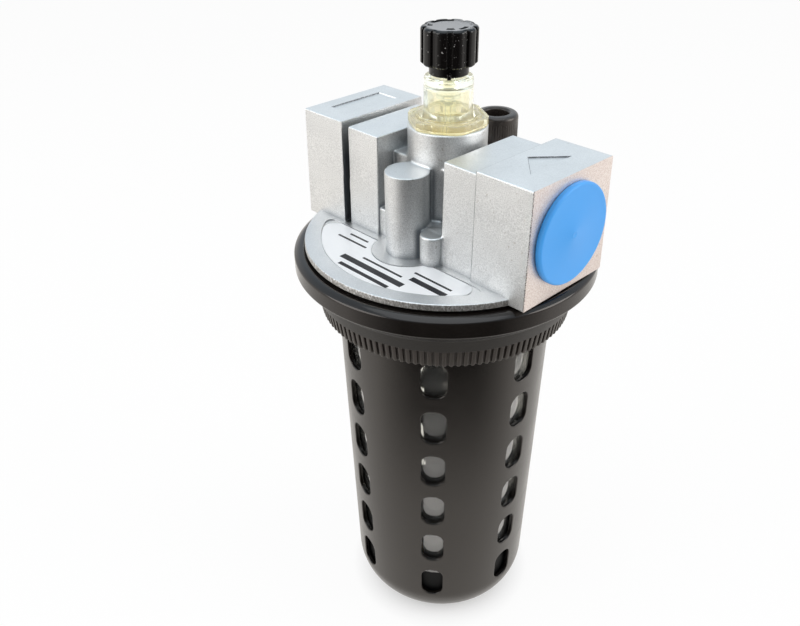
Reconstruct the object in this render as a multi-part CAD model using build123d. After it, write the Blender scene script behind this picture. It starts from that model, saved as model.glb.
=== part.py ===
from build123d import *
import math
import os

os.makedirs("parts", exist_ok=True)

# Air line lubricator, millimetres, +Z up. The origin is the middle of the bowl guard's flat foot,
# X runs along the air way with the inlet at +X, and the label side faces -Y.

# Fits and gaps shared by the pieces
seat_gap = 0.05
running_gap = 0.08
wall_gap = 0.3
joint_gap = 0.3

# Bowl guard
guard_height = 124.0
guard_top_r = 33.7
guard_foot_r = 30.2
guard_corner_r = 15.2
guard_wall = 1.6
guard_flange_w = 2.2
guard_flange_t = 2.5
drain_hole_r = 8.0
slot_columns = 7
slot_rows = 6
slot_w = 7.9
slot_h = 12.4
slot_corner_r = 3.4
slot_top_gap = 13.0
slot_low_z = 21.3

# Clear bowl
bowl_gap = 0.9
bowl_wall = 2.4
bowl_foot_gap = 2.0
bowl_flange_t = 4.0

# Clamp ring: walls are measured outwards from its chamber
ring_lip_t = 3.4
ring_knurl_low_wall = 2.6
ring_knurl_top_wall = 3.6
ring_knurl_h = 5.9
ring_band_low_wall = 4.0
ring_band_top_wall = 5.8
ring_band_h = 5.0
ring_under_h = 3.5
ring_rim_wall = 9.9
ring_rim_h = 4.5
ring_shoulder_wall = 7.2
notch_count = 120
notch_w = 0.85
notch_depth = 0.7
notch_drop = 0.2

# Casting: skirt, flange and label recess
skirt_overhang = 3.1
skirt_gap = 0.2
skirt_depth = 10.45
skirt_relief = 1.5
vault_inset = 0.9
vault_depth = 7.6
flange_overhang = 3.7
flange_t = 2.0
recess_depth = 0.4
recess_rim = 4.8
recess_edge_y = 18.4
recess_corner_r = 2.0
pad_r = 10.5
label_margin = 0.7
label_t = 0.25

# Casting: port blocks
port_span = 88.0
port_rise = 15.2
port_bore_r = 9.3
port_depth = 20.0
air_bore_r = 6.5
block_height = 33.9
block_half_w = 16.5
block_draft = 0.02
outer_block_len = 18.6
inner_block_len = 12.1
inner_front_step = 1.0
inner_back_step = 3.8
inlet_top_step = 0.5
outlet_top_step = 1.5
groove_w = 1.8
groove_depth = 4.5
edge_r = 0.5

# Casting: middle, bosses and drillings
web_rise = 24.8
web_front_y = 9.2
sill_rise = 8.7
sill_front_y = 15.2
riser_y = 16.0
riser_r = 6.4
riser_rise = 24.5
pip_x = 10.3
pip_y = 16.2
pip_r = 3.7
pip_rise = 8.7
turret_r = 11.4
turret_rise = 34.2
well_r = 8.15
well_depth = 8.0
channel_r = 1.0
drip_x = 4.6
drip_r = 1.1
jet_x = 20.0
jet_r = 1.0

# Filler
filler_y = 21.0
filler_boss_r = 8.4
filler_boss_rise = 20.2
filler_bore_r = 5.0
filler_thread_len = 9.0
filler_way_r = 3.6
filler_head_r = 6.6
filler_head_h = 11.9
filler_cup_r = 3.75
filler_cup_depth = 7.0
filler_rim_h = 2.2
filler_rib_count = 54
filler_rib_w = 0.35
filler_rib_depth = 0.25

# Sight dome and metering screw
dome_flats_half = 10.5
dome_base_h = 2.5
dome_ring_r = 8.7
dome_neck_r = 6.9
dome_neck_h = 11.0
dome_shoulder_r = 1.0
dome_bore_r = 5.2
dome_roof_t = 3.5
dome_spigot_len = 6.0
stem_r = 2.4
needle_shank_r = 1.2
needle_stop_r = 3.4
needle_stop_h = 1.2
needle_lift = 1.5
needle_free_len = 0.9
nozzle_r = 2.2
nozzle_foot_r = 3.4
nozzle_foot_h = 1.4
nozzle_bore_r = 0.6
nozzle_mouth_r = 1.5
nozzle_mouth_h = 1.2

# Adjusting knob
knob_r = 7.85
knob_h = 9.8
knob_rib_count = 10
knob_groove_w = 1.5
knob_groove_depth = 0.9
knob_edge = 0.9
knob_collar_r = 5.5
knob_collar_h = 2.9
knob_tab_w = 1.1
knob_tab_h = 1.5
knob_tab_reach = 1.5
knob_tab_turn = 44.1

# Siphon
tube_r = 2.6
tube_bore_r = 1.6
fitting_spigot_len = 8.0
fitting_flange_r = 5.0
fitting_flange_h = 2.0
fitting_r = 4.0
fitting_len = 5.0
fitting_bore_r = 0.9
siphon_boss_r = 6.0
ball_r = 1.6
ball_lift = 1.5
ball_seat_r = 1.3
filter_r = 5.0
filter_h = 12.0
filter_wall = 1.2
filter_socket = 6.0
filter_clearance = 3.4

# O-ring sections
bowl_seal_section = 2.4
dome_seal_section = 1.5
filler_seal_section = 1.4
stem_seal_section = 0.7

# Flow guide
guide_throat_r = 3.2
guide_mouth_r = 5.4
guide_throat_len = 12.0
guide_flange_r = 8.6
guide_flange_t = 1.5
guide_len = 34.0

# Inlet plug
plug_r = 14.2
plug_head_t = 1.85
plug_edge_r = 0.7
plug_skirt_r = 9.1
plug_skirt_len = 11.0
plug_skirt_wall = 1.5
plug_taper = 0.25

# Radii and levels worked out from the sizes above
guard_flange_r = guard_top_r + guard_flange_w
chamber_r = guard_flange_r + wall_gap
skirt_r = guard_flange_r + skirt_overhang
flange_r = skirt_r + flange_overhang
vault_r = guard_top_r - guard_wall - bowl_gap - bowl_wall - vault_inset
slot_top_z = guard_height - slot_top_gap
slot_pitch = (slot_top_z - slot_low_z) / (slot_rows - 1)
guard_flange_top = guard_height + guard_flange_t
bowl_flange_z = guard_flange_top + seat_gap
bowl_flange_top = bowl_flange_z + bowl_flange_t
seal_face_z = bowl_flange_top + joint_gap
flange_under_z = seal_face_z + skirt_depth
flange_top_z = flange_under_z + flange_t
vault_top_z = seal_face_z + vault_depth
block_top_z = flange_under_z + block_height
port_z = flange_top_z + port_rise
turret_top_z = flange_top_z + turret_rise
web_top_z = flange_top_z + web_rise
sill_top_z = flange_top_z + sill_rise
riser_top_z = flange_top_z + riser_rise
well_floor_z = turret_top_z - well_depth
filler_boss_z = flange_top_z + filler_boss_rise
ring_lip_z = guard_height - seat_gap - ring_lip_t
ring_top_z = flange_under_z - joint_gap
port_x = port_span / 2
step_x = port_x - outer_block_len
middle_x = step_x - inner_block_len
bore_end_x = port_x - port_depth
bowl_z = guard_wall + bowl_foot_gap
bowl_floor_z = bowl_z + bowl_wall
dome_base_z = turret_top_z + seat_gap
dome_roof_z = dome_base_z + dome_base_h + dome_neck_h
dome_ceiling_z = dome_roof_z - dome_roof_t
fitting_z = seal_face_z - fitting_flange_h
filter_z = bowl_floor_z + filter_clearance


# A flat outline in the plane of the first and second number of each corner.
# A third number rounds that corner with an arc of that radius.
def outline(corners):
    count = len(corners)
    edges = []
    last = None
    first = None
    for i in range(count):
        here = Vector(corners[i][0], corners[i][1])
        before = Vector(corners[i - 1][0], corners[i - 1][1])
        after = Vector(corners[(i + 1) % count][0], corners[(i + 1) % count][1])
        radius = corners[i][2] if len(corners[i]) > 2 else 0
        start, end = here, here
        if radius > 0:
            to_before = (before - here).normalized()
            to_after = (after - here).normalized()
            half = math.radians(to_before.get_angle(to_after)) / 2
            cut = radius / math.tan(half)
            start = here + to_before * cut
            end = here + to_after * cut
            middle = (to_before + to_after).normalized()
            top = here + middle * (radius / math.sin(half) - radius)
        if last is not None:
            edges.append(Line(last, start))
        if first is None:
            first = start
        if radius > 0:
            edges.append(ThreePointArc(start, top, end))
        last = end
    edges.append(Line(last, first))
    return make_face(Wire(edges))


# A turned solid about +Z from corners given as radius, height and rounding
def turned(corners):
    return revolve(Plane.XZ * outline(corners), Axis.Z)


# A round bar from one height to another, standing at x, y
def bar(radius, low_z, high_z, x=0, y=0):
    return Pos(x, y, low_z) * Cylinder(radius, high_z - low_z, align=(Align.CENTER, Align.CENTER, Align.MIN))


# A round bar along X between two places
def cross_bar(radius, low_x, high_x, z):
    ends = Align.CENTER, Align.CENTER, Align.MIN
    return Pos(low_x, 0, z) * Rot(0, 90, 0) * Cylinder(radius, high_x - low_x, align=ends)


# A box given by its low and high corners
def slab(low, high):
    size = [high[i] - low[i] for i in range(3)]
    return Pos(*low) * Box(*size, align=(Align.MIN, Align.MIN, Align.MIN))


# An O-ring about +Z
def ring_seal(middle_r, section, z):
    return Pos(0, 0, z) * Torus(middle_r, section / 2)


# The guard's outer radius at a height
def guard_r(z):
    return guard_foot_r + (guard_top_r - guard_foot_r) * z / guard_height


# Slotted guard: a tapered cup with a flange and columns of round-ended windows
def make_bowl_guard():
    slope = (guard_top_r - guard_foot_r) / guard_height
    inner_foot_r = guard_foot_r - guard_wall + slope * guard_wall
    inner_top_r = guard_r(guard_flange_top) - guard_wall
    cup = turned([
        (drain_hole_r, 0),
        (guard_foot_r, 0, guard_corner_r),
        (guard_top_r, guard_height),
        (guard_flange_r, guard_height),
        (guard_flange_r, guard_flange_top),
        (inner_top_r, guard_flange_top),
        (inner_foot_r, guard_wall, guard_corner_r - guard_wall),
        (drain_hole_r, guard_wall),
    ])
    cutters = []
    for row in range(slot_rows):
        z = slot_top_z - row * slot_pitch
        wide = slot_w * guard_r(z) / guard_r(slot_top_z)
        window = RectangleRounded(wide, slot_h, slot_corner_r * wide / slot_w)
        reach = guard_flange_r
        cutter = extrude(Plane.YZ * window, reach)
        for column in range(slot_columns):
            cutters.append(Rot(0, 0, column * 360 / slot_columns) * Pos(0, 0, z) * cutter)
    return cup - cutters


# Clear bowl: hangs by its flange on the guard's flange
def make_bowl():
    outer_top_r = guard_r(guard_flange_top) - guard_wall - bowl_gap
    outer_foot_r = guard_foot_r - guard_wall - bowl_gap
    corner_r = guard_corner_r - guard_wall - bowl_gap
    return turned([
        (0, bowl_z),
        (outer_foot_r, bowl_z, corner_r),
        (outer_top_r, bowl_flange_z),
        (guard_flange_r, bowl_flange_z),
        (guard_flange_r, bowl_flange_top),
        (outer_top_r - bowl_wall, bowl_flange_top),
        (outer_foot_r - bowl_wall, bowl_floor_z, corner_r - bowl_wall),
        (0, bowl_floor_z),
    ])


# The bowl seal's middle radius lies half way across the bowl's flange
def bowl_seal_r():
    return (guard_flange_r + guard_r(guard_flange_top) - guard_wall - bowl_gap - bowl_wall) / 2


def make_bowl_seal():
    return ring_seal(bowl_seal_r(), bowl_seal_section, bowl_flange_top + seat_gap + bowl_seal_section / 2)


# Clamp ring: screws on the casting's skirt and carries guard and bowl on its inner lip.
# Its grip band narrows downwards and has tilted notches.
def make_clamp_ring():
    knurl_top = ring_lip_z + ring_knurl_h
    band_top = knurl_top + ring_band_h
    rim_low = band_top + ring_under_h
    rim_high = rim_low + ring_rim_h
    knurl_low_r = chamber_r + ring_knurl_low_wall
    knurl_top_r = chamber_r + ring_knurl_top_wall
    rim_r = chamber_r + ring_rim_wall
    lip_bore_r = guard_top_r + wall_gap + seat_gap
    thread_r = skirt_r + skirt_gap
    skirt_end = seal_face_z + skirt_relief
    ring = turned([
        (lip_bore_r, ring_lip_z),
        (knurl_low_r, ring_lip_z, 0.4),
        (knurl_top_r, knurl_top),
        (chamber_r + ring_band_low_wall, knurl_top),
        (chamber_r + ring_band_top_wall, band_top, 2.0),
        (rim_r, rim_low, 0.8),
        (rim_r, rim_high, 0.6),
        (chamber_r + ring_shoulder_wall, ring_top_z, 1.0),
        (thread_r, ring_top_z),
        (thread_r, skirt_end - joint_gap),
        (chamber_r, skirt_end - joint_gap),
        (chamber_r, ring_lip_z + ring_lip_t),
        (lip_bore_r, ring_lip_z + ring_lip_t),
    ])
    tilt = math.degrees(math.atan((knurl_top_r - knurl_low_r) / ring_knurl_h))
    middle = Pos((knurl_low_r + knurl_top_r) / 2, 0, ring_lip_z + ring_knurl_h / 2 - notch_drop)
    notch = middle * Rot(0, tilt, 0) * Box(2 * notch_depth, notch_w, ring_knurl_h)
    notches = [Rot(0, 0, i * 360 / notch_count) * notch for i in range(notch_count)]
    return ring - notches


# One port block section: drafted front and back, rounded long edges at the top
def block(low_x, high_x, front_y, back_y, top_z):
    drop = block_top_z - flange_under_z
    flare = block_draft * drop
    face = outline([
        (-front_y - flare, flange_under_z),
        (back_y + flare, flange_under_z),
        (back_y, top_z, edge_r),
        (-front_y, top_z, edge_r),
    ])
    return Pos(low_x, 0, 0) * extrude(Plane.YZ * face, high_x - low_x)


# Label field on the flange: a half moon round the riser boss
def label_field(margin):
    moon = Circle(flange_r - recess_rim - margin)
    moon -= Pos(0, flange_r) * Rectangle(4 * flange_r, 2 * flange_r + 2 * (recess_edge_y + margin))
    tips = moon.vertices()
    moon = fillet(tips, recess_corner_r)
    moon -= Pos(0, -riser_y) * Circle(pad_r + margin)
    return moon


def make_label():
    low = flange_top_z - recess_depth + seat_gap
    return Pos(0, 0, low) * extrude(label_field(label_margin), label_t)


# Casting: flange and skirt, port blocks, turret, bosses and every bore and drilling
def make_body():
    skirt_end = seal_face_z + skirt_relief
    face_r = guard_flange_r - wall_gap
    solid = turned([
        (0, seal_face_z),
        (face_r, seal_face_z),
        (face_r, skirt_end),
        (skirt_r, skirt_end, 0.6),
        (skirt_r, flange_under_z),
        (flange_r, flange_under_z),
        (flange_r, flange_top_z, 0.4),
        (0, flange_top_z),
    ])
    inner_front = block_half_w - inner_front_step
    inner_back = block_half_w - inner_back_step
    solid += block(step_x, port_x, block_half_w, block_half_w, block_top_z)
    solid += block(-port_x, -step_x, block_half_w, block_half_w, block_top_z)
    solid += block(middle_x, step_x, inner_front, inner_back, block_top_z - inlet_top_step)
    solid += block(-step_x, -middle_x, inner_front, inner_back, block_top_z - outlet_top_step)
    solid += slab((-middle_x, -web_front_y, flange_under_z), (middle_x, inner_back, web_top_z))
    solid += slab((-middle_x, -sill_front_y, flange_under_z), (middle_x, 0, sill_top_z))
    solid += bar(turret_r, flange_under_z, turret_top_z)
    solid += bar(riser_r, flange_under_z, riser_top_z, 0, -riser_y)
    solid += bar(pip_r, flange_under_z, flange_top_z + pip_rise, pip_x, -pip_y)
    solid += bar(filler_boss_r, flange_under_z, filler_boss_z, 0, filler_y)
    solid += slab((-filler_boss_r / 2, 0, flange_under_z), (filler_boss_r / 2, filler_y, filler_boss_z - 2))

    # Cooling gap between the outer and inner block on the outlet side
    groove_low = (-step_x - groove_w / 2, -port_x, flange_top_z)
    groove_high = (-step_x + groove_w / 2, port_x, port_x + block_top_z)
    core = slab(
        (-port_x, -inner_front + groove_depth, flange_under_z),
        (0, inner_back - groove_depth, block_top_z - groove_depth),
    )
    solid -= slab(groove_low, groove_high) - core

    # Label recess
    solid -= Pos(0, 0, flange_top_z - recess_depth) * extrude(label_field(0), recess_depth + 1)

    # Vault over the bowl, with the siphon boss left standing in it
    vault = bar(vault_r, seal_face_z - 1, vault_top_z)
    solid -= vault - bar(siphon_boss_r, seal_face_z, vault_top_z, 0, -riser_y)

    # Seal groove in the face over the bowl's flange
    half = bowl_seal_section / 2 + wall_gap / 2
    groove_top = bowl_flange_top + bowl_seal_section + wall_gap
    solid -= turned([
        (bowl_seal_r() - half, seal_face_z - 1),
        (bowl_seal_r() + half, seal_face_z - 1),
        (bowl_seal_r() + half, groove_top),
        (bowl_seal_r() - half, groove_top),
    ])

    # Air way: threaded ports and the smaller bore between them
    solid -= cross_bar(port_bore_r, bore_end_x, port_x + 1, port_z)
    solid -= cross_bar(port_bore_r, -port_x - 1, -bore_end_x, port_z)
    solid -= cross_bar(air_bore_r, -bore_end_x - 1, bore_end_x + 1, port_z)

    # Turret well with its seal step, the nozzle seat, the drip hole and the pressure jet
    solid -= bar(well_r, well_floor_z, turret_top_z + 1)
    solid -= bar(dome_seal_r() + dome_seal_section / 2 + wall_gap, turret_top_z - dome_seal_section - wall_gap,
                 turret_top_z + 1)
    solid -= bar(drip_r, port_z, well_floor_z + 1, drip_x, 0)
    solid -= bar(jet_r, vault_top_z - 1, port_z, jet_x, 0)

    # Oil way: fitting bore, ball chamber, riser drilling and the slanted drilling to the nozzle
    ball_z = fitting_top() + ball_rise()
    chamber_top = ball_z + ball_r + ball_lift + joint_gap
    solid -= bar(fitting_r + running_gap, seal_face_z - 1, fitting_top() + joint_gap, 0, -riser_y)
    solid -= bar(ball_r + 0.6, fitting_top(), chamber_top, 0, -riser_y)
    bend_z = riser_top_z - 4.3
    solid -= bar(channel_r, chamber_top - 1, bend_z, 0, -riser_y)
    slant = Vector(0, riser_y, well_floor_z - 1.5 - bend_z)
    start = Plane(origin=(0, -riser_y, bend_z), z_dir=slant)
    ends = Align.CENTER, Align.CENTER, Align.MIN
    solid -= start * Cylinder(channel_r, slant.length, align=ends)
    solid -= Pos(0, 0, well_floor_z - 1.5) * Sphere(channel_r)
    solid -= bar(channel_r, well_floor_z - 1.5, well_floor_z + 1)

    # Filler bore with its seal step and the way down to the bowl
    solid -= bar(filler_bore_r, filler_boss_z - filler_thread_len - 2, filler_boss_z + 1, 0, filler_y)
    solid -= bar(filler_seal_r() + filler_seal_section / 2 + wall_gap, filler_boss_z - filler_seal_section,
                 filler_boss_z + 1, 0, filler_y)
    solid -= bar(filler_way_r, vault_top_z - 1, filler_boss_z, 0, filler_y)
    return solid


def dome_seal_r():
    return well_r + dome_seal_section / 2 + 0.1


def make_dome_seal():
    return ring_seal(dome_seal_r(), dome_seal_section, turret_top_z - wall_gap / 2 - dome_seal_section / 2)


# Sight dome: hexagon base trimmed round, rounded neck, hollow inside, spigot in the turret
def make_sight_dome():
    spigot_r = well_r - running_gap
    base_top = dome_base_z + dome_base_h
    hexagon = RegularPolygon(dome_flats_half, 6, major_radius=False, rotation=30)
    base = Pos(0, 0, dome_base_z) * extrude(hexagon & Circle(turret_r), dome_base_h)
    rest = turned([
        (0, dome_base_z - dome_spigot_len),
        (spigot_r, dome_base_z - dome_spigot_len, 0.5),
        (spigot_r, base_top - 0.5),
        (dome_ring_r, base_top - 0.5),
        (dome_ring_r, base_top + 0.5),
        (dome_neck_r, base_top + 1.6, 0.8),
        (dome_neck_r, dome_roof_z, dome_shoulder_r),
        (0, dome_roof_z),
    ])
    hollow = turned([
        (0, dome_base_z - dome_spigot_len - 1),
        (dome_bore_r, dome_base_z - dome_spigot_len - 1),
        (dome_bore_r, dome_ceiling_z, 1.0),
        (0, dome_ceiling_z),
    ])
    return base + rest - hollow - bar(stem_r + running_gap, dome_ceiling_z - 1, dome_roof_z + 1)


# Height of the stop on the metering needle: it has the lift's room under the dome's roof
def needle_stop_z():
    return dome_ceiling_z - needle_lift - seat_gap - needle_stop_h


# Height of the nozzle's mouth, below the needle's stop
def mouth_z():
    return needle_stop_z() - needle_free_len


def make_drip_nozzle():
    foot_z = well_floor_z + seat_gap
    return turned([
        (nozzle_bore_r, foot_z),
        (nozzle_foot_r, foot_z),
        (nozzle_foot_r, foot_z + nozzle_foot_h, 0.3),
        (nozzle_r, foot_z + nozzle_foot_h + 0.8),
        (nozzle_r, mouth_z(), 0.3),
        (nozzle_mouth_r, mouth_z()),
        (nozzle_bore_r, mouth_z() - nozzle_mouth_h),
    ])


# Metering needle: cone in the nozzle's mouth, stop under the dome's roof, stem up into the knob
def make_metering_needle():
    slope = (nozzle_mouth_r - nozzle_bore_r) / nozzle_mouth_h
    tip_z = mouth_z() - nozzle_mouth_h
    tip_r = nozzle_bore_r - running_gap
    shank_z = tip_z + (needle_shank_r - tip_r) / slope
    stop_z = needle_stop_z()
    groove_z = dome_roof_z - 1.2
    groove_r = stem_r - stem_seal_section + running_gap / 2
    return turned([
        (0, tip_z),
        (tip_r, tip_z),
        (needle_shank_r, shank_z),
        (needle_shank_r, stop_z),
        (needle_stop_r, stop_z, 0.2),
        (needle_stop_r, stop_z + needle_stop_h, 0.2),
        (stem_r, stop_z + needle_stop_h),
        (stem_r, groove_z - stem_seal_section / 2 - 0.1),
        (groove_r, groove_z - stem_seal_section / 2 - 0.1),
        (groove_r, groove_z + stem_seal_section / 2 + 0.1),
        (stem_r, groove_z + stem_seal_section / 2 + 0.1),
        (stem_r, knob_rib_z() + knob_h / 2),
        (0, knob_rib_z() + knob_h / 2),
    ])


def make_stem_seal():
    middle_r = stem_r + running_gap / 2 - stem_seal_section / 2
    return ring_seal(middle_r, stem_seal_section, dome_roof_z - 1.2)


# Height of the ribbed head's lower edge
def knob_rib_z():
    return dome_roof_z + joint_gap + knob_collar_h


# Adjusting knob: grooved head on a plain collar, a pointer tab in line with one groove, socket for the stem
def make_adjusting_knob():
    low = dome_roof_z + joint_gap
    rib_z = knob_rib_z()
    head = turned([
        (0, low),
        (knob_collar_r, low, 0.3),
        (knob_collar_r, rib_z),
        (knob_r - knob_edge, rib_z),
        (knob_r, rib_z + knob_edge, 0.5),
        (knob_r, rib_z + knob_h, knob_edge),
        (0, rib_z + knob_h),
    ])
    groove = Pos(0, -knob_r, rib_z + knob_h / 2) * Box(knob_groove_w, 2 * knob_groove_depth, knob_h)
    for i in range(knob_rib_count):
        head -= Rot(0, 0, knob_tab_turn + i * 360 / knob_rib_count) * groove
    tab_half = knob_tab_w / 2
    tab = slab(
        (-tab_half, -knob_collar_r - knob_tab_reach, low),
        (tab_half, -knob_collar_r + 1, low + knob_tab_h),
    )
    head += Rot(0, 0, knob_tab_turn) * tab
    return head - bar(stem_r + seat_gap, low - 1, rib_z + knob_h / 2 + seat_gap)


def filler_seal_r():
    return filler_bore_r + filler_seal_section / 2


def make_filler_seal():
    z = filler_boss_z - filler_seal_section / 2 + seat_gap
    return Pos(0, filler_y, 0) * ring_seal(filler_seal_r(), filler_seal_section, z)


# Filler plug: ribbed cup-shaped head on a threaded shank
def make_filler_plug():
    low = filler_boss_z + 2 * seat_gap
    top = low + filler_head_h
    shank_r = filler_bore_r - running_gap
    plug = turned([
        (0, low - filler_thread_len),
        (shank_r, low - filler_thread_len, 0.8),
        (shank_r, low),
        (filler_head_r, low, 0.4),
        (filler_head_r, top - 0.2, 1.4),
        (filler_cup_r + 0.5, top),
        (filler_cup_r, top - 0.6),
        (filler_cup_r, top - filler_cup_depth),
        (0, top - filler_cup_depth),
    ])
    rib_h = filler_head_h - filler_rim_h
    rib_gap = Pos(filler_head_r, 0, low + rib_h / 2) * Box(2 * filler_rib_depth, filler_rib_w, rib_h)
    gaps = [Rot(0, 0, i * 360 / filler_rib_count) * rib_gap for i in range(filler_rib_count)]
    return Pos(0, filler_y, 0) * (plug - gaps)


# The siphon fitting ends under the ball's chamber
def fitting_top():
    return seal_face_z + fitting_len


# Height of the ball's centre above the fitting, resting in the seat's cone
def ball_rise():
    return ball_r * math.cos(math.asin(ball_seat_r / ball_r)) + seat_gap


def make_siphon_fitting():
    fitting = turned([
        (fitting_bore_r, fitting_z - fitting_spigot_len),
        (tube_bore_r - seat_gap, fitting_z - fitting_spigot_len, 0.3),
        (tube_bore_r - seat_gap, fitting_z),
        (fitting_flange_r, fitting_z, 0.3),
        (fitting_flange_r, seal_face_z - seat_gap, 0.3),
        (fitting_r, seal_face_z - seat_gap),
        (fitting_r, fitting_top()),
        (ball_seat_r, fitting_top()),
        (fitting_bore_r, fitting_top() - 1),
    ])
    return Pos(0, -riser_y, 0) * fitting


def make_check_ball():
    return Pos(0, -riser_y, fitting_top() + ball_rise()) * Sphere(ball_r)


def make_siphon_tube():
    low = filter_z + filter_h - filter_socket + seat_gap
    tube = turned([
        (tube_bore_r, low),
        (tube_r, low),
        (tube_r, fitting_z - seat_gap),
        (tube_bore_r, fitting_z - seat_gap),
    ])
    return Pos(0, -riser_y, 0) * tube


# Intake filter: a cup pushed on the tube's lower end
def make_siphon_filter():
    top = filter_z + filter_h
    shelf = top - filter_socket
    cup = turned([
        (filter_r - filter_wall, filter_z),
        (filter_r, filter_z),
        (filter_r, top - 2.5),
        (tube_r + seat_gap + filter_wall, top),
        (tube_r + seat_gap, top),
        (tube_r + seat_gap, shelf),
        (tube_bore_r, shelf),
        (tube_bore_r, shelf - filter_wall),
        (filter_r - filter_wall, shelf - filter_wall),
    ])
    return Pos(0, -riser_y, 0) * cup


# Flow guide: narrows the air way to a throat under the drip hole
def make_flow_guide():
    outer_r = air_bore_r - running_gap
    end_x = bore_end_x + seat_gap
    far_x = end_x - guide_len
    throat_low = drip_x - guide_throat_len / 2
    throat_high = drip_x + guide_throat_len / 2
    guide = outline([
        (far_x, guide_mouth_r),
        (far_x, outer_r),
        (end_x, outer_r),
        (end_x, guide_flange_r),
        (end_x + guide_flange_t, guide_flange_r),
        (end_x + guide_flange_t, guide_mouth_r),
        (throat_high, guide_throat_r),
        (throat_low, guide_throat_r),
    ])
    turned_guide = revolve(Plane.XZ * guide, Axis.X)
    hole = bar(drip_r, 0, air_bore_r + 1, drip_x, 0)
    return Pos(0, 0, port_z) * (turned_guide - hole)


# Inlet plug: a disc over the port with a hollow push-in skirt
def make_inlet_plug():
    plug = outline([
        (-plug_skirt_len, plug_skirt_r - plug_skirt_wall - plug_taper),
        (-plug_skirt_len, plug_skirt_r - plug_taper),
        (0, plug_skirt_r),
        (0, plug_r),
        (plug_head_t, plug_r, plug_edge_r),
        (plug_head_t, 0),
        (0, 0),
        (0, plug_skirt_r - plug_skirt_wall),
    ])
    return Pos(port_x + seat_gap, 0, port_z) * revolve(Plane.XZ * plug, Axis.X)


makers = {
    "body": make_body,
    "label": make_label,
    "clamp_ring": make_clamp_ring,
    "bowl_guard": make_bowl_guard,
    "bowl": make_bowl,
    "bowl_seal": make_bowl_seal,
    "siphon_tube": make_siphon_tube,
    "siphon_filter": make_siphon_filter,
    "siphon_fitting": make_siphon_fitting,
    "check_ball": make_check_ball,
    "flow_guide": make_flow_guide,
    "sight_dome": make_sight_dome,
    "dome_seal": make_dome_seal,
    "drip_nozzle": make_drip_nozzle,
    "metering_needle": make_metering_needle,
    "stem_seal": make_stem_seal,
    "adjusting_knob": make_adjusting_knob,
    "filler_plug": make_filler_plug,
    "filler_seal": make_filler_seal,
    "inlet_plug": make_inlet_plug,
}

for node, make in makers.items():
    piece = make()
    print(node, round(piece.volume, 1))
    export_step(piece, f"parts/{node}.step")
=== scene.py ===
import bpy
import bmesh
import math
import numpy as np
from mathutils import Matrix, Vector


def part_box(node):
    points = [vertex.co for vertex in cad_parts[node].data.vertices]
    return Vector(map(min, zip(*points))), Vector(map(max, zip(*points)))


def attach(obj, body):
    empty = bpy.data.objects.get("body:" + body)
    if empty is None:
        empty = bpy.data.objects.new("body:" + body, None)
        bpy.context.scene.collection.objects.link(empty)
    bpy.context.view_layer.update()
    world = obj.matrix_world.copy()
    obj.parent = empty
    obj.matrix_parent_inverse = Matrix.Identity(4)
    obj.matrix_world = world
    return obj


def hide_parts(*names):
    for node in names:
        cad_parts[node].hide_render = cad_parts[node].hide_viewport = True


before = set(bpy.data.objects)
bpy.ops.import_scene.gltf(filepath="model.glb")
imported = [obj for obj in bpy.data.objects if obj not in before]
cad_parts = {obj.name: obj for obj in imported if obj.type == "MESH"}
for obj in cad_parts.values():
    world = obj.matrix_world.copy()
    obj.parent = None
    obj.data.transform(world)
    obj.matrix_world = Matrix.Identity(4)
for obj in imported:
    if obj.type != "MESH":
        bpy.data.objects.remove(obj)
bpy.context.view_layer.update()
mm = 0.001
print("frame loaded with", len(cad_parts), "solids")


# Ways to make a surface

noTris = np.zeros((0, 3), int)
square = np.array([(-1, -1), (1, -1), (1, 1), (-1, 1)])  # corners, counterclockwise


# Lowest and highest corner of a solid in millimetres, read from the frame
def spanOf(node):
    low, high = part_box(node)
    return np.array(low) / mm, np.array(high) / mm


# Mesh from whole arrays: points in millimetres, quads and triangles as rows of indices
def makeMesh(name, points, quads, tris=noTris):
    corners = np.concatenate([np.ravel(quads), tris.ravel()]).astype(np.int32)
    starts = np.concatenate([np.arange(len(quads)) * 4, len(quads) * 4 + np.arange(len(tris)) * 3])
    mesh = bpy.data.meshes.new(name)
    mesh.vertices.add(len(points))
    mesh.vertices.foreach_set("co", (points * mm).astype(np.float32).ravel())
    mesh.loops.add(len(corners))
    mesh.loops.foreach_set("vertex_index", corners)
    mesh.polygons.add(len(starts))
    mesh.polygons.foreach_set("loop_start", starts.astype(np.int32))
    mesh.update(calc_edges=True)
    mesh.validate()
    mesh.polygons.foreach_set("use_smooth", np.ones(len(mesh.polygons), bool))
    return mesh


# Object that shows a mesh, with edges sharper than an angle kept crisp
def makePiece(name, mesh, *materials, crisp=38):
    for material in materials:
        mesh.materials.append(material)
    if crisp:
        mesh.set_sharp_from_angle(angle=math.radians(crisp))
    piece = bpy.data.objects.new(name, mesh)
    bpy.context.scene.collection.objects.link(piece)
    return piece


# Places or directions of a mesh's points or faces as rows of three
def rowsOf(items, name):
    values = np.zeros(len(items) * 3)
    items.foreach_get(name, values)
    return values.reshape(-1, 3)


# Middles of a mesh's faces in millimetres
def centres(mesh):
    return rowsOf(mesh.polygons, "center") / mm


# Material number of each face, from whole numbers or a mask, and smooth shading on all
def setFinish(mesh, finish):
    mesh.polygons.foreach_set("material_index", finish.astype(np.int32))
    mesh.polygons.foreach_set("use_smooth", np.ones(len(mesh.polygons), bool))


# Change a mesh by a function of its editable copy
def edit(mesh, change):
    work = bmesh.new()
    work.from_mesh(mesh)
    change(work)
    work.to_mesh(mesh)
    work.free()


def weld(work, distance=2e-6):
    bmesh.ops.remove_doubles(work, verts=work.verts, dist=distance)


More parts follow.
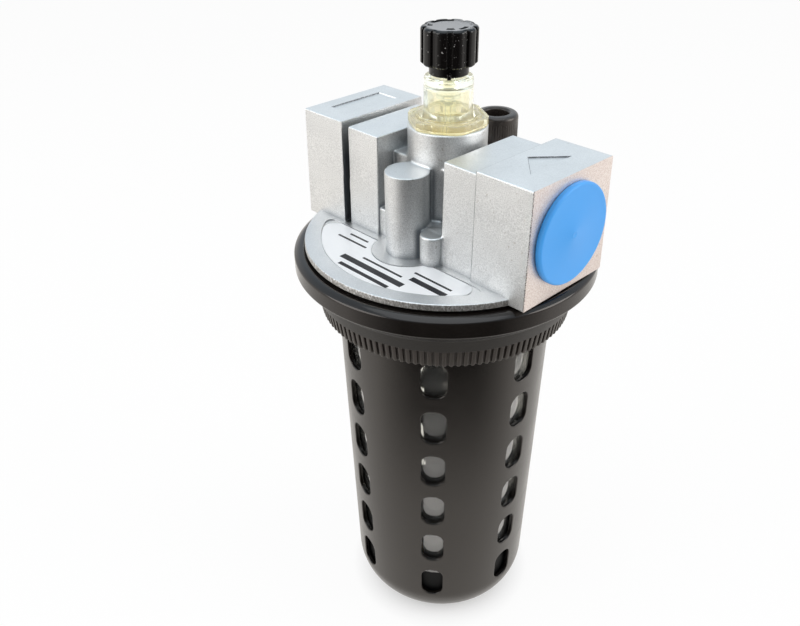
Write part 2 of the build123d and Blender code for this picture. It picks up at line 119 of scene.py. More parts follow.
# Points of an outline at one height, and the edges that close it
def addLoop(work, outline, height):
    loop = [work.verts.new((x * mm, y * mm, height * mm)) for x, y in outline]
    return loop, [work.edges.new((loop[i - 1], loop[i])) for i in range(len(loop))]


def fillEdges(work, edges, normal=(0, 0, 1)):
    bmesh.ops.triangle_fill(work, use_beauty=True, use_dissolve=False, edges=edges, normal=normal)


# Flat face between closed outlines at one height, filled with triangles
def fillFlat(work, outlines, height, normal=(0, 0, 1)):
    fillEdges(work, [edge for outline in outlines for edge in addLoop(work, outline, height)[1]], normal)


# Wall between two loops of a recess, seen from inside it
def addWall(work, lower, upper):
    for i in range(len(lower)):
        work.faces.new((lower[i - 1], upper[i - 1], upper[i], lower[i]))


# Quads of a grid of rows and columns, point number = row * columns + column
def gridQuads(rows, columns, wrapRows=False):
    row, column = np.meshgrid(np.arange(rows if wrapRows else rows - 1), np.arange(columns), indexing="ij")
    nextRow, nextColumn = (row + 1) % rows, (column + 1) % columns
    corners = [row * columns + column, row * columns + nextColumn,
               nextRow * columns + nextColumn, nextRow * columns + column]
    return np.stack(corners, -1).reshape(-1, 4)


# Outline through corners (across, up, radius): a radius turns its corner into an arc about a centre on the
# corner's bisector, and a support point just outside each arc's end keeps the flats flat
def roundedOutline(corners, closed=True, arcSteps=6, support=0.12):
    count = len(corners)
    place = np.array([corner[:2] for corner in corners], float)
    radius = np.array([corner[2] if len(corner) > 2 else 0.0 for corner in corners])
    if not closed:
        radius[[0, -1]] = 0
    before, after = np.roll(place, 1, 0) - place, np.roll(place, -1, 0) - place
    lengthBefore, lengthAfter = np.linalg.norm(before, axis=1), np.linalg.norm(after, axis=1)
    before, after = before / lengthBefore[:, None], after / lengthAfter[:, None]
    half = np.arccos(np.clip((before * after).sum(1), -1, 1)) / 2
    cut = radius / np.tan(half)
    straightAfter = lengthAfter - cut - np.roll(cut, -1)
    straightBefore = np.roll(straightAfter, 1)
    points = []
    for i in range(count):
        if radius[i] == 0:
            points.append(place[i:i + 1])
            continue
        bisector = before[i] + after[i]
        centre = place[i] + bisector / np.linalg.norm(bisector) * radius[i] / math.sin(half[i])
        start, end = place[i] + before[i] * cut[i], place[i] + after[i] * cut[i]
        turn = math.pi - 2 * half[i]
        t = np.linspace(0, 1, arcSteps + 1)[:, None]
        arc = (np.sin((1 - t) * turn) * (start - centre) + np.sin(t * turn) * (end - centre)) / math.sin(turn)
        if straightBefore[i] > 0.05:
            points.append((start + before[i] * min(support, straightBefore[i] / 3))[None])
        points.append(centre + arc)
        if straightAfter[i] > 0.05:
            points.append((end + after[i] * min(support, straightAfter[i] / 3))[None])
    return np.concatenate(points)


# Surface round +Z: x = radius cos(angle), y = radius sin(angle), rows along the profile and columns
# round the axis. A first or last row on the axis becomes one point with a fan of triangles.
def roundSurface(radius, height, angle, closed=False):
    radius, height = radius + 0 * angle, height + 0 * angle
    columns = len(angle)
    poles = [not closed and bool(np.all(np.abs(radius[end]) < 1e-9)) for end in (0, -1)]
    ring = np.stack([radius * np.cos(angle), radius * np.sin(angle), height], -1)
    points = ring[int(poles[0]):len(ring) - int(poles[1])].reshape(-1, 3)
    quads = gridQuads(len(points) // columns, columns, closed)
    column = np.arange(columns)
    following = (column + 1) % columns
    last = len(points) - columns
    tris = [noTris]
    for end, rim in ((0, (following, column)), (-1, (last + column, last + following))):
        if poles[end]:
            tris.append(np.stack([np.full(columns, len(points)), *rim], -1))
            points = np.vstack([points, [[0, 0, height[end, 0]]]])
    return points, quads, np.concatenate(tris)


# Evenly spaced angles round a full turn
def fullTurn(steps):
    return np.arange(steps) * 2 * math.pi / steps


# Angles at the same places within each of a full turn's steps
def stepTurn(steps, within):
    return ((np.arange(steps)[:, None] + within) / steps * 2 * math.pi).ravel()


# Places on a circle round the origin
def onCircle(radius, angle):
    return radius * np.stack([np.cos(angle), np.sin(angle)], -1)


# An outline raised to a height
def raised(outline, height):
    return np.column_stack([outline, np.full(len(outline), height)])


# A profile of (radius, height) turned round +Z
def turned(profile, angle, closed=False):
    return roundSurface(profile[:, :1], profile[:, 1:], angle, closed)


# Turn a surface made round +Z so that it stands round +X: height goes to x, x to y and y to z
def alongX(points, height=0.0):
    return points[:, [2, 0, 1]] + [0, 0, height]


# Several surfaces as one
def joined(*surfaces):
    bases = np.cumsum([0] + [len(points) for points, _, _ in surfaces])
    return (np.concatenate([points for points, _, _ in surfaces]),
            np.concatenate([quads + base for (_, quads, _), base in zip(surfaces, bases)]),
            np.concatenate([tris + base for (_, _, tris), base in zip(surfaces, bases)]))


# Smooth step from 0 to 1 between two values
def ease(low, high, value):
    t = np.clip((value - low) / (high - low), 0, 1)
    return t * t * (3 - 2 * t)


# Materials

# Set a node's inputs by name, each to a number or a colour, or linked from another node's output
def setInputs(tree, node, **values):
    for name, value in values.items():
        feed(tree, node.inputs[name.replace("_", " ")], value)
    return node


def feed(tree, socket, value):
    if isinstance(value, bpy.types.NodeSocket):
        tree.links.new(value, socket)
    else:
        socket.default_value = value


def addNode(tree, kind, **values):
    return setInputs(tree, tree.nodes.new("ShaderNode" + kind), **values)


# Mix of two colours by a mask
def mixColours(tree, mask, low, high):
    mix = addNode(tree, "Mix")
    mix.data_type = "RGBA"
    for number, value in ((0, mask), (6, low), (7, high)):
        feed(tree, mix.inputs[number], (*value, 1) if isinstance(value, tuple) else value)
    return mix.outputs[2]


# Value mapped from one range to another, and held at its ends
def remap(tree, value, low, high, newLow=0, newHigh=1):
    return addNode(tree, "MapRange", Value=value, From_Min=low, From_Max=high, To_Min=newLow,
                   To_Max=newHigh).outputs["Result"]


# Result of one operation on two values
def combine(tree, operation, first, second=0):
    node = addNode(tree, "Math")
    node.operation = operation
    feed(tree, node.inputs[0], first)
    feed(tree, node.inputs[1], second)
    return node.outputs[0]


def product(tree, first, *others):
    for other in others:
        first = combine(tree, "MULTIPLY", first, other)
    return first


# The three coordinates of a place
def split(tree, place):
    return addNode(tree, "SeparateXYZ", Vector=place).outputs


# Result of one operation on places or directions
def combineVectors(tree, operation, first, second=(0, 0, 0)):
    node = addNode(tree, "VectorMath")
    node.operation = operation
    feed(tree, node.inputs[0], first)
    feed(tree, node.inputs[1], second)
    return node.outputs["Vector" if operation == "NORMALIZE" else "Value"]


# Normal bumped by a height mask, depth in metres
def bump(tree, height, depth):
    return addNode(tree, "Bump", Height=height, Distance=depth).outputs["Normal"]


# Shared effect: fine grain, wide mottle and sparse pits, from three noises on one place
def makeGrainGroup():
    group = bpy.data.node_groups.new("castGrain", "ShaderNodeTree")
    noises = {"Grain": (1500.0, 3.0, 0.6), "Mottle": (90.0, 4.0, 0.6), "Pits": (500.0, 2.0, 0.5)}
    group.interface.new_socket("Place", in_out="INPUT", socket_type="NodeSocketVector")
    for name, (scale, _, _) in noises.items():
        socket = group.interface.new_socket(name + " scale", in_out="INPUT", socket_type="NodeSocketFloat")
        socket.default_value = scale
        group.interface.new_socket(name, in_out="OUTPUT", socket_type="NodeSocketFloat")
    start = group.nodes.new("NodeGroupInput").outputs
    end = group.nodes.new("NodeGroupOutput").inputs
    for name, (_, detail, roughness) in noises.items():
        value = addNode(group, "TexNoise", Vector=start["Place"], Scale=start[name + " scale"], Detail=detail,
                        Roughness=roughness).outputs["Fac"]
        group.links.new(remap(group, value, 0.68, 0.76) if name == "Pits" else value, end[name])
    return group


grainGroup = makeGrainGroup()


# New material with its shader and its object coordinates, plain values on the shader's own sockets
def startMaterial(name, **values):
    material = bpy.data.materials.new(name)
    material.use_nodes = True
    tree = material.node_tree
    shader = setInputs(tree, tree.nodes["Principled BSDF"], **values)
    return material, tree, shader, addNode(tree, "TexCoord").outputs["Object"]


# The grain group's outputs, placed in a material
def placeGrain(tree, place, grain, mottle, pits=500.0):
    node = addNode(tree, "Group")
    node.node_tree = grainGroup
    return setInputs(tree, node, Place=place, Grain_scale=grain, Mottle_scale=mottle, Pits_scale=pits).outputs


# The casting's finish: bounds of its masks, shares, colours, and places in metres
metal = {
    "mottleScale": 60.0, "pitScale": 700.0, "cloudShare": 0.4, "faceUp": (0.5, 0.95), "upShare": 0.35,
    "hollow": (0.4, 0.52), "peak": (0.54, 0.66), "peakColour": (0.97, 0.97, 0.97),
    "stainShare": 0.45, "stainColour": (0.36, 0.31, 0.26),
    "stepShadeX": 0.02555, "stepShadeWidth": (0.00012, 0.00026), "stepShadeShare": 0.75, "stepShadeZ": (0.1442, 0.1444),
    "stepShadeColour": (0.2, 0.2, 0.2),
    "lean": 0.02, "burrY": (-0.0197, -0.0195), "burrX": (0.04385, 0.0439), "burrColour": (0.03, 0.03, 0.03),
    "occlusion": (0.4, 0.88), "paintedShadeShare": 0.88, "webZ": (0.164, 0.172), "aboveWeb": 0.3,
    "shadeColour": (0.18, 0.2, 0.22),
}


# Blasted die casting: bright metal with faint clouds, darker in the hollows of its grain, paler on its peaks,
# both fading on faces that look up, under sparse stains. stretch draws the grain out along z. A hair line of
# painted shade follows the step between two blocks, a burr the port face's front edge. Where the mesh has an
# occlusion attribute, hidden places get painted shade, dark and cool, less so above the web.
def makeCastMetal(name, light, dark, roughness, depth, scale, stretch=1.0, grainShare=0.55):
    m = metal
    material, tree, shader, place = startMaterial(name, Metallic=0.92)
    spot = addNode(tree, "Mapping", Vector=place, Scale=(1, 1, stretch)).outputs["Vector"]
    grain = placeGrain(tree, spot, scale, m["mottleScale"], m["pitScale"])
    normal = addNode(tree, "TexCoord").outputs["Normal"]
    upright = remap(tree, split(tree, normal)["Z"], *m["faceUp"], 1, m["upShare"])
    share = product(tree, upright, grainShare)
    x, y, z = split(tree, place)
    fromStep = combine(tree, "SUBTRACT", combine(tree, "ABSOLUTE", x), m["stepShadeX"])
    fromFront = combine(tree, "SUBTRACT", y, product(tree, z, m["lean"]))
    occlusion = addNode(tree, "Attribute")
    occlusion.attribute_name = "occlusion"
    hollow = product(tree, remap(tree, grain["Grain"], *m["hollow"], 1, 0), share)
    peak = product(tree, remap(tree, grain["Grain"], *m["peak"]), share)
    stain = product(tree, grain["Pits"], upright, m["stainShare"])
    # Painted shade: a thin dark line along the step between the inner and the outer blocks
    stepShade = product(tree, remap(tree, combine(tree, "ABSOLUTE", fromStep), *m["stepShadeWidth"], m["stepShadeShare"], 0),
                   remap(tree, z, *m["stepShadeZ"]))
    burr = product(tree, remap(tree, fromFront, *m["burrY"], 1, 0), remap(tree, x, *m["burrX"]),
                   remap(tree, grain["Grain"], 0.45, 0.5, 1, 0.3))
    # Painted shade where the occlusion attribute is high, weaker on faces that look up and above the web
    paintedShade = product(tree, remap(tree, occlusion.outputs["Fac"], *m["occlusion"], 0, m["paintedShadeShare"]), upright,
                     remap(tree, z, *m["webZ"], 1, m["aboveWeb"]))
    colour = mixColours(tree, remap(tree, grain["Mottle"], 0.3, 0.7, 0, m["cloudShare"]), light, dark)
    for mask, over in ((hollow, dark), (peak, m["peakColour"]), (stain, m["stainColour"]),
                       (stepShade, m["stepShadeColour"]), (burr, m["burrColour"]), (paintedShade, m["shadeColour"])):
        colour = mixColours(tree, mask, colour, over)
    setInputs(tree, shader, Base_Color=colour,
              Roughness=remap(tree, grain["Mottle"], 0.2, 0.8, roughness - 0.05, roughness + 0.05),
              Normal=bump(tree, product(tree, grain["Grain"], upright), depth))
    return material


castMetal = makeCastMetal("castMetal", (0.82, 0.82, 0.81), (0.55, 0.55, 0.545), 0.42, 0.0001, 3200.0)
flangeMetal = makeCastMetal("flangeMetal", (0.66, 0.66, 0.66), (0.53, 0.53, 0.53), 0.42, 0.0001, 3200.0)
roughMetal = makeCastMetal("roughMetal", (0.68, 0.66, 0.63), (0.42, 0.405, 0.385), 0.5, 0.0002, 1800.0,
                           0.7, 0.9)
boredMetal = makeCastMetal("boredMetal", (0.92, 0.83, 0.79), (0.62, 0.52, 0.48), 0.4, 0.0001, 2800.0)
# Dark metal for the panels' recess walls that face +x: painted shade
shadedWallMetal = makeCastMetal("shadedWallMetal", (0.2, 0.21, 0.22), (0.12, 0.12, 0.13), 0.6, 0.0001, 3300.0)


# Moulded or painted finish: one colour with faint clouds and fine grain in its gloss, and where flecks is
# given, a share of pale dust in the sparse pits
def makeFinish(name, colour, cloud, roughness, spread=0.04, depth=0.00002, scale=1400.0, flecks=0, **values):
    material, tree, shader, place = startMaterial(name, **values)
    grain = placeGrain(tree, place, scale, 60.0, 1700.0)
    clouds = mixColours(tree, remap(tree, grain["Mottle"], 0.3, 0.7), colour, cloud)
    if flecks:
        clouds = mixColours(tree, product(tree, grain["Pits"], flecks), clouds, (0.6, 0.58, 0.56))
    setInputs(tree, shader, Base_Color=clouds, Normal=bump(tree, grain["Grain"], depth),
              Roughness=remap(tree, grain["Mottle"], 0.3, 0.7, roughness - spread, roughness + spread))
    return material


warmGloss = (1.0, 0.93, 0.87, 1.0)
ringGloss = makeFinish("ringGloss", (0.006, 0.005, 0.0045), (0.0095, 0.0075, 0.0065), 0.14, 0.03, 0.000006,
                       Specular_Tint=(1.0, 0.93, 0.89, 1.0), Specular_IOR_Level=0.48)
ringBand = makeFinish("ringBand", (0.006, 0.0048, 0.0041), (0.0095, 0.0076, 0.0065), 0.42, 0.05, 0.00003,
                      Specular_Tint=warmGloss, Specular_IOR_Level=0.26)
ringMatt = makeFinish("ringMatt", (0.024, 0.019, 0.016), (0.032, 0.0255, 0.021), 0.42, 0.05, 0.00003,
                      Specular_Tint=warmGloss)
guardPaint = makeFinish("guardPaint", (0.0055, 0.0045, 0.004), (0.009, 0.0075, 0.0065), 0.24, 0.03, 0.00001,
                        900.0, Specular_Tint=warmGloss, Specular_IOR_Level=0.62)
knobBlack = makeFinish("knobBlack", (0.003, 0.0025, 0.0025), (0.005, 0.004, 0.004), 0.07, 0.03, 0.00001,
                       flecks=0.8, Specular_IOR_Level=0.33)
knobTop = makeFinish("knobTop", (0.2, 0.2, 0.205), (0.3, 0.3, 0.31), 0.3, 0.05, 0.00001)
plugBlack = makeFinish("plugBlack", (0.024, 0.019, 0.017), (0.038, 0.032, 0.029), 0.29, 0.05, 0.00002,
                       Specular_Tint=warmGloss)
knobMark = makeFinish("knobMark", (0.004, 0.004, 0.004), (0.007, 0.007, 0.007), 0.8, Specular_IOR_Level=0.1)
labelWhite = makeFinish("labelWhite", (0.88, 0.895, 0.92), (0.91, 0.925, 0.945), 0.3, 0.04, 0.000004)
labelInk = makeFinish("labelInk", (0.012, 0.012, 0.015), (0.02, 0.02, 0.024), 0.4, 0.04, 0.000004,
                      Specular_IOR_Level=0.25)
plugBlue = makeFinish("plugBlue", (0.05, 0.355, 0.87), (0.065, 0.38, 0.9), 0.4, 0.05, 0.00001)
nylonWhite = makeFinish("nylonWhite", (0.78, 0.78, 0.72), (0.83, 0.83, 0.78), 0.4)
greyPlastic = makeFinish("greyPlastic", (0.3, 0.31, 0.32), (0.34, 0.35, 0.36), 0.45)
sealRubber = makeFinish("sealRubber", (0.02, 0.02, 0.02), (0.035, 0.034, 0.033), 0.55)
sealAmber = makeFinish("sealAmber", (0.62, 0.5, 0.2), (0.7, 0.58, 0.27), 0.35, Transmission_Weight=0.5)
brass = makeFinish("brass", (0.72, 0.54, 0.27), (0.66, 0.48, 0.23), 0.3, Metallic=1.0)
bronze = makeFinish("bronze", (0.5, 0.34, 0.17), (0.36, 0.23, 0.11), 0.6, 0.1, 0.0002, 1200.0, Metallic=1.0)
ballSteel = makeFinish("ballSteel", (0.7, 0.7, 0.72), (0.66, 0.66, 0.68), 0.12, 0.02, Metallic=1.0)

coat = {"facing": (0.16, 0.45), "least": 0.02}


# Clear plastic: tinted transmission with faint upright waves, its tint going from one colour to another
# between two heights in metres. Where fade heights are given, a coat has full weight at glancing angles and
# little on faces turned to the eye, and it fades out upwards between those heights: painted shade on the
# bowl's reflections under the clamp ring.
def makeClear(name, low, high, heights, roughness, clear, wave=0.00004, shadeFadeHeights=None, **values):
    material, tree, shader, place = startMaterial(name, Transmission_Weight=clear, Roughness=roughness,
                                                  **values)
    z = split(tree, place)["Z"]
    spot = addNode(tree, "Mapping", Vector=place, Scale=(1, 1, 0.12)).outputs["Vector"]
    setInputs(tree, shader, Base_Color=mixColours(tree, remap(tree, z, *heights), low, high),
              Normal=bump(tree, placeGrain(tree, spot, 500.0, 160.0)["Mottle"], wave))
    if shadeFadeHeights:
        facing = addNode(tree, "LayerWeight").outputs["Facing"]
        glancing = remap(tree, facing, *coat["facing"], coat["least"], 1)
        setInputs(tree, shader, Coat_Weight=product(tree, glancing, remap(tree, z, *shadeFadeHeights, 1, 0)))
    return material


clearBowl = makeClear("clearBowl", (0.93, 0.93, 0.9), (0.95, 0.95, 0.92), (0.03, 0.1), 0.03, 0.975, 0.00012,
                      (0.104, 0.117), IOR=1.48, Coat_IOR=2.5)
# Dark matt foot of the clear bowl: painted shade for the dark gap that the guard's lowest windows show
bowlFootShade = makeFinish("bowlFootShade", (0.004, 0.004, 0.004), (0.007, 0.007, 0.007), 0.5, Specular_IOR_Level=0.12)

# The dome's plastic gathers light: a faint glow of its own stands for that
clearDome = makeClear("clearDome", (0.99, 0.98, 0.9), (0.99, 0.985, 0.92), (0.18, 0.183), 0.02, 0.982,
                      Emission_Color=(0.97, 1.0, 0.72, 1.0), Emission_Strength=0.06)
domeBase = makeClear("domeBase", (0.97, 0.88, 0.52), (0.99, 0.97, 0.8), (0.1772, 0.1798), 0.04, 0.8,
                     Emission_Color=(1.0, 0.88, 0.56, 1.0), Emission_Strength=0.055)
print("materials made")


# Casting: sizes that the frame's box does not give, millimetres
head = {
    "flangeRadius": 42.7, "flangeUnder": 141.3, "flangeTop": 143.3, "flatInset": 0.6, "underInset": 0.3,
    "hubInset": 0.9, "hubRise": 0.8, "roughEdge": 0.16,
    "recessDepth": 0.4, "recessRim": 4.8, "recessEdge": 18.4, "recessCorner": 2.0, "padRadius": 10.5,
    "riserY": 16.0, "riserRadius": 6.4, "riserTop": 167.8, "riserEdge": 0.3,
    "pipX": 10.3, "pipY": 16.2, "pipRadius": 3.7, "pipTop": 152.0,
    "turretRadius": 11.4, "turretTop": 177.5, "bossEdge": 0.5, "portX": 44.0, "portZ": 158.5,
    "stepX": 25.4, "middleX": 13.3, "outletMiddleX": 12.6, "blockHalf": 16.5, "innerFront": 15.5,
    "innerBack": 12.7, "blockTop": 175.2, "innerTop": 173.9, "draft": 0.02, "edge": 0.4, "stepEdge": 0.3,
    "grooveX": 26.1, "grooveHalf": 0.87, "grooveDepth": 4.5,
    "webTop": 168.1, "webFront": 9.2, "webEdge": 0.6, "sillTop": 152.0, "sillFront": 15.2, "blockMelt": 0.4,
    "fillerY": 21.0, "fillerRadius": 8.4, "fillerTop": 163.5, "fillerBore": 5.0, "fillerDepth": 11.0,
    "fillerWay": 3.6, "skirtRadius": 39.0, "skirtRoot": 38.2, "skirtEnd": 132.35, "skirtPitch": 3.0,
    "faceRadius": 35.6, "faceZ": 130.85, "vaultRadius": 28.0, "vaultTop": 138.45,
    "siphonRadius": 6.0, "siphonBore": 4.08, "siphonDepth": 5.3,
    "portBore": 10.4, "threadCrest": 9.3, "threadPitch": 1.814, "boreEnd": 24.0, "airBore": 6.5,
    "wellRadius": 8.15, "wellFloor": 169.5, "sealStepRadius": 10.05, "sealStep": 1.8,
    "melt": 0.7, "past": 2.2, "panelDepth": 0.35, "panelSlope": 0.2, "panelMargin": 1.2,
    "grid": 0.95, "fineGrid": 0.3, "gridY": 43.2, "marksY": [-16.8, -15.8, -9.2, 12.9, 16.8],
    "marksZ": [142.7, 152.0, 163.5, 168.0, 173.8, 175.0, 177.4],
    "hiding": [(1.5, 0.2), (4.0, 0.35), (9.0, 0.45)],
}

# Corners of the sunk panels on the two block tops: a plain rectangle and a plain flow triangle
panels = [np.array([(-39.5, -10.0), (-31.3, -10.0), (-31.3, 9.8), (-39.5, 9.8)]),
          np.array([(28.7, 0.0), (36.6, -8.6), (36.6, 8.6)])]


# Where several solids meet: the largest of their distances
def meet(first, *others):
    for other in others:
        first = np.maximum(first, other)
    return first


# Rounded intersection and union of two distances: within the radius of both surfaces the result follows a
# circle, elsewhere the larger or the smaller distance
def roundMax(first, second, radius):
    return (np.minimum(np.maximum(first, second), -radius)
            + np.hypot(np.maximum(first + radius, 0), np.maximum(second + radius, 0)))


def melt(first, second, radius):
    return -roundMax(-first, -second, radius)


# Distance to a round bar that stands at a place, with a rounded top edge
def barField(x, y, z, radius, top, edge):
    return roundMax(np.hypot(x, y) - radius, z - top, edge)


# Distance to one port block: drafted front and back, rounded long and upright edges
def blockField(x, y, z, low, high, front, back, top, uprightEdge):
    flare = head["draft"] * (head["blockTop"] - z)
    sides = np.maximum(-y - front - flare, y - back - flare)
    return roundMax(roundMax(np.maximum(low - x, x - high), sides, uprightEdge), z - top, head["edge"])


# Distance to the casting, negative inside. The port ends run past their faces and are cut off later.
def castingField(x, y, z):
    h = head
    past, step, half = h["portX"] + h["past"], h["stepX"], h["blockHalf"]
    inner = h["innerFront"], h["innerBack"], h["innerTop"], h["edge"]
    outer = half, half, h["blockTop"], h["stepEdge"]
    blocks = blockField(x, y, z, h["middleX"], step + 1, *inner)
    for low, high, shape in ((-step - 1, -h["outletMiddleX"], inner), (step, past, outer),
                             (-past, -step, outer)):
        blocks = np.minimum(blocks, blockField(x, y, z, low, high, *shape))

    # Gap between the outer and the inner block on the outlet side
    core = meet(-y - inner[0], y - inner[1], z - h["blockTop"]) + h["grooveDepth"]
    blocks = np.maximum(blocks, -meet(np.abs(x + h["grooveX"]) - h["grooveHalf"], h["flangeTop"] - z, -core))

    # Web and sill between the blocks, turret and bosses
    across = np.abs(x) - h["middleX"] - 1
    web = roundMax(meet(across, -y - h["webFront"], y - h["innerBack"]), z - h["webTop"], h["webEdge"])
    sill = roundMax(meet(across, -y - h["sillFront"], y), z - h["sillTop"], h["webEdge"])
    solid = melt(blocks, np.minimum(web, sill), h["blockMelt"])
    rib = meet(np.abs(x) - h["fillerRadius"] / 2, -y, y - h["fillerY"])
    filler = melt(barField(x, y - h["fillerY"], z, h["fillerRadius"], h["fillerTop"], h["bossEdge"]),
                  roundMax(rib, z - h["fillerTop"] + 2, h["webEdge"]), h["melt"])
    for boss in (barField(x, y, z, h["turretRadius"], h["turretTop"], h["bossEdge"]),
                 barField(x, y + h["riserY"], z, h["riserRadius"], h["riserTop"], h["riserEdge"]),
                 barField(x - h["pipX"], y + h["pipY"], z, h["pipRadius"], h["pipTop"], h["bossEdge"]),
                 filler):
        solid = melt(solid, boss, h["melt"])
    solid = np.maximum(solid, h["flangeUnder"] - z)

    # Flange core and skirt core, which the turned rim and the threaded sleeve cover
    radial = np.hypot(x, y)
    top = z - h["flangeTop"] + 2 * h["recessDepth"]
    flange = meet(radial - h["flangeRadius"] + h["flatInset"], h["flangeUnder"] + h["underInset"] - z, top)
    skirt = meet(radial - h["skirtRoot"], h["skirtEnd"] - z, top)
    face = meet(radial - h["faceRadius"], h["faceZ"] - z, top)
    solid = np.minimum(melt(solid, flange, h["melt"]), np.minimum(skirt, face))

    # Vault with the siphon boss in it, then every bore
    siphon = np.hypot(x, y + h["riserY"])
    fromPort = np.hypot(y, z - h["portZ"])
    fillerRadial = np.hypot(x, y - h["fillerY"])
    for bore in (
        meet(radial - h["vaultRadius"], z - h["vaultTop"], h["siphonRadius"] - siphon),
        np.maximum(siphon - h["siphonBore"], z - h["faceZ"] - h["siphonDepth"]),
        np.maximum(fromPort - h["portBore"], h["boreEnd"] - np.abs(x)),
        np.maximum(fromPort - h["airBore"], np.abs(x) - h["boreEnd"] - 1),
        np.maximum(radial - h["wellRadius"], h["wellFloor"] - z),
        np.maximum(radial - h["sealStepRadius"], h["turretTop"] - h["sealStep"] - z),
        np.maximum(fillerRadial - h["fillerBore"], h["fillerTop"] - h["fillerDepth"] - z),
        fillerRadial - h["fillerWay"],
    ):
        solid = np.maximum(solid, -bore)
    return solid


# Uneven grid lines: the spacing is fine near the marks and coarse away from them, and the lines stand where
# the running sum of 1 / spacing passes whole steps
def gridLines(low, high, marks, reach=0.5):
    coarse, fine = head["grid"], head["fineGrid"]
    samples = np.linspace(low, high, 6000)
    near = np.abs(samples[:, None] - np.asarray(marks)).min(1)
    spacing = fine + (coarse - fine) * ease(reach, 3 * reach, near)
    running = np.concatenate([[0], np.cumsum(np.diff(samples) / spacing[1:])])
    return np.interp(np.linspace(0, running[-1], math.ceil(running[-1]) + 1), running, samples)


# Surface where the casting's distance changes sign on a grid: one point in each crossed cell, at the mean
# of the crossings on its edges, and one quad round each crossed grid edge
def surfaceNet(x, y, z):
    values = castingField(x[:, None, None], y[None, :, None], z[None, None, :])
    inside = values < 0
    corners = [(i, j, k) for i in (0, 1) for j in (0, 1) for k in (0, 1)]
    width, depth, height = np.array(values.shape) - 1
    total = sum(inside[i:width + i, j:depth + j, k:height + k].astype(np.int8) for i, j, k in corners)
    crossed = (total > 0) & (total < 8)
    cell = np.argwhere(crossed)
    number = np.full(crossed.shape, -1)
    number[crossed] = np.arange(len(cell))
    points, hits = np.zeros((len(cell), 3)), np.zeros(len(cell))
    for a, b in [(a, b) for a in corners for b in corners if a < b and sum(np.abs(np.subtract(a, b))) == 1]:
        first, second = (cell + a).T, (cell + b).T
        valueA, valueB = values[tuple(first)], values[tuple(second)]
        cut = (valueA < 0) != (valueB < 0)
        t = np.where(cut, valueA / np.where(cut, valueA - valueB, 1), 0)[:, None]
        placeA, placeB = (np.stack([x[end[0]], y[end[1]], z[end[2]]], 1) for end in (first, second))
        points += cut[:, None] * (placeA + t * (placeB - placeA))
        hits += cut
    quads = []
    for axis in range(3):
        order = (axis, (axis + 1) % 3, (axis + 2) % 3)
        start = np.moveaxis(inside, order, (0, 1, 2))[:, 1:-1, 1:-1]
        cells = np.moveaxis(number, order, (0, 1, 2))
        change = start[:-1] != start[1:]
        i, j, k = np.nonzero(change)
        loop = np.stack([cells[i, j, k], cells[i, j + 1, k], cells[i, j + 1, k + 1], cells[i, j, k + 1]], 1)
        quads.append(np.where(start[:-1][change][:, None], loop, loop[:, ::-1]))
    return points / hits[:, None], np.concatenate(quads)


# Gradient of the casting's distance by central differences
def fieldSlope(points, step=0.02):
    shifts = np.eye(3) * step
    return np.stack([castingField(*(points + shift).T) - castingField(*(points - shift).T)
                     for shift in shifts], 1) / (2 * step)


# Move points along the gradient until they lie on the surface
def pullToField(points, rounds=4, reach=0.3):
    for _ in range(rounds):
        slope = fieldSlope(points)
        move = -castingField(*points.T)[:, None] * slope / ((slope ** 2).sum(1)[:, None] + 1e-9)
        length = np.linalg.norm(move, axis=1)[:, None]
        points = points + move * np.minimum(1, reach / (length + 1e-9))
    return points


# Outline moved inwards, each corner along the sum of its two edges' normals
def insetOutline(corners, distance):
    edge = np.roll(corners, -1, 0) - corners
    inward = np.stack([-edge[:, 1], edge[:, 0]], 1) / np.linalg.norm(edge, axis=1)[:, None]
    before = np.roll(inward, 1, 0)
    return corners + (inward + before) / (1 + (inward * before).sum(1))[:, None] * distance


# One panel: the flat faces round it give way to a patch with the panel's outline, sloped walls and a floor
def sinkPanel(work, corners):
    low, high = (corners.min(0) - head["panelMargin"]) * mm, (corners.max(0) + head["panelMargin"]) * mm
    top = head["blockTop"] * mm

    def level(item):
        return all(abs(point.co.z - top) < 2e-6 for point in item.verts)

    flat = [face for face in work.faces if level(face) and all(
        low[0] < point.co.x < high[0] and low[1] < point.co.y < high[1] for point in face.verts)]
    bmesh.ops.delete(work, geom=flat, context="FACES")
    border = [edge for edge in work.edges if edge.is_boundary and level(edge)]
    upper, outline = addLoop(work, corners, head["blockTop"])
    lower, _ = addLoop(work, insetOutline(corners, head["panelSlope"]), head["blockTop"] - head["panelDepth"])
    fillEdges(work, border + outline)
    addWall(work, lower, upper)
    work.faces.new(lower)


# Cut the port ends flat and sink the panels into the block tops
def cutCasting(work):
    for side in (-1, 1):
        everything = work.verts[:] + work.edges[:] + work.faces[:]
        result = bmesh.ops.bisect_plane(work, geom=everything, dist=1e-7, clear_outer=True,
                                        plane_co=(side * head["portX"] * mm, 0, 0), plane_no=(side, 0, 0))
        rim = [item for item in result["geom_cut"] if isinstance(item, bmesh.types.BMEdge)]
        fillEdges(work, rim, (side, 0, 0))
    for corners in panels:
        sinkPanel(work, corners)
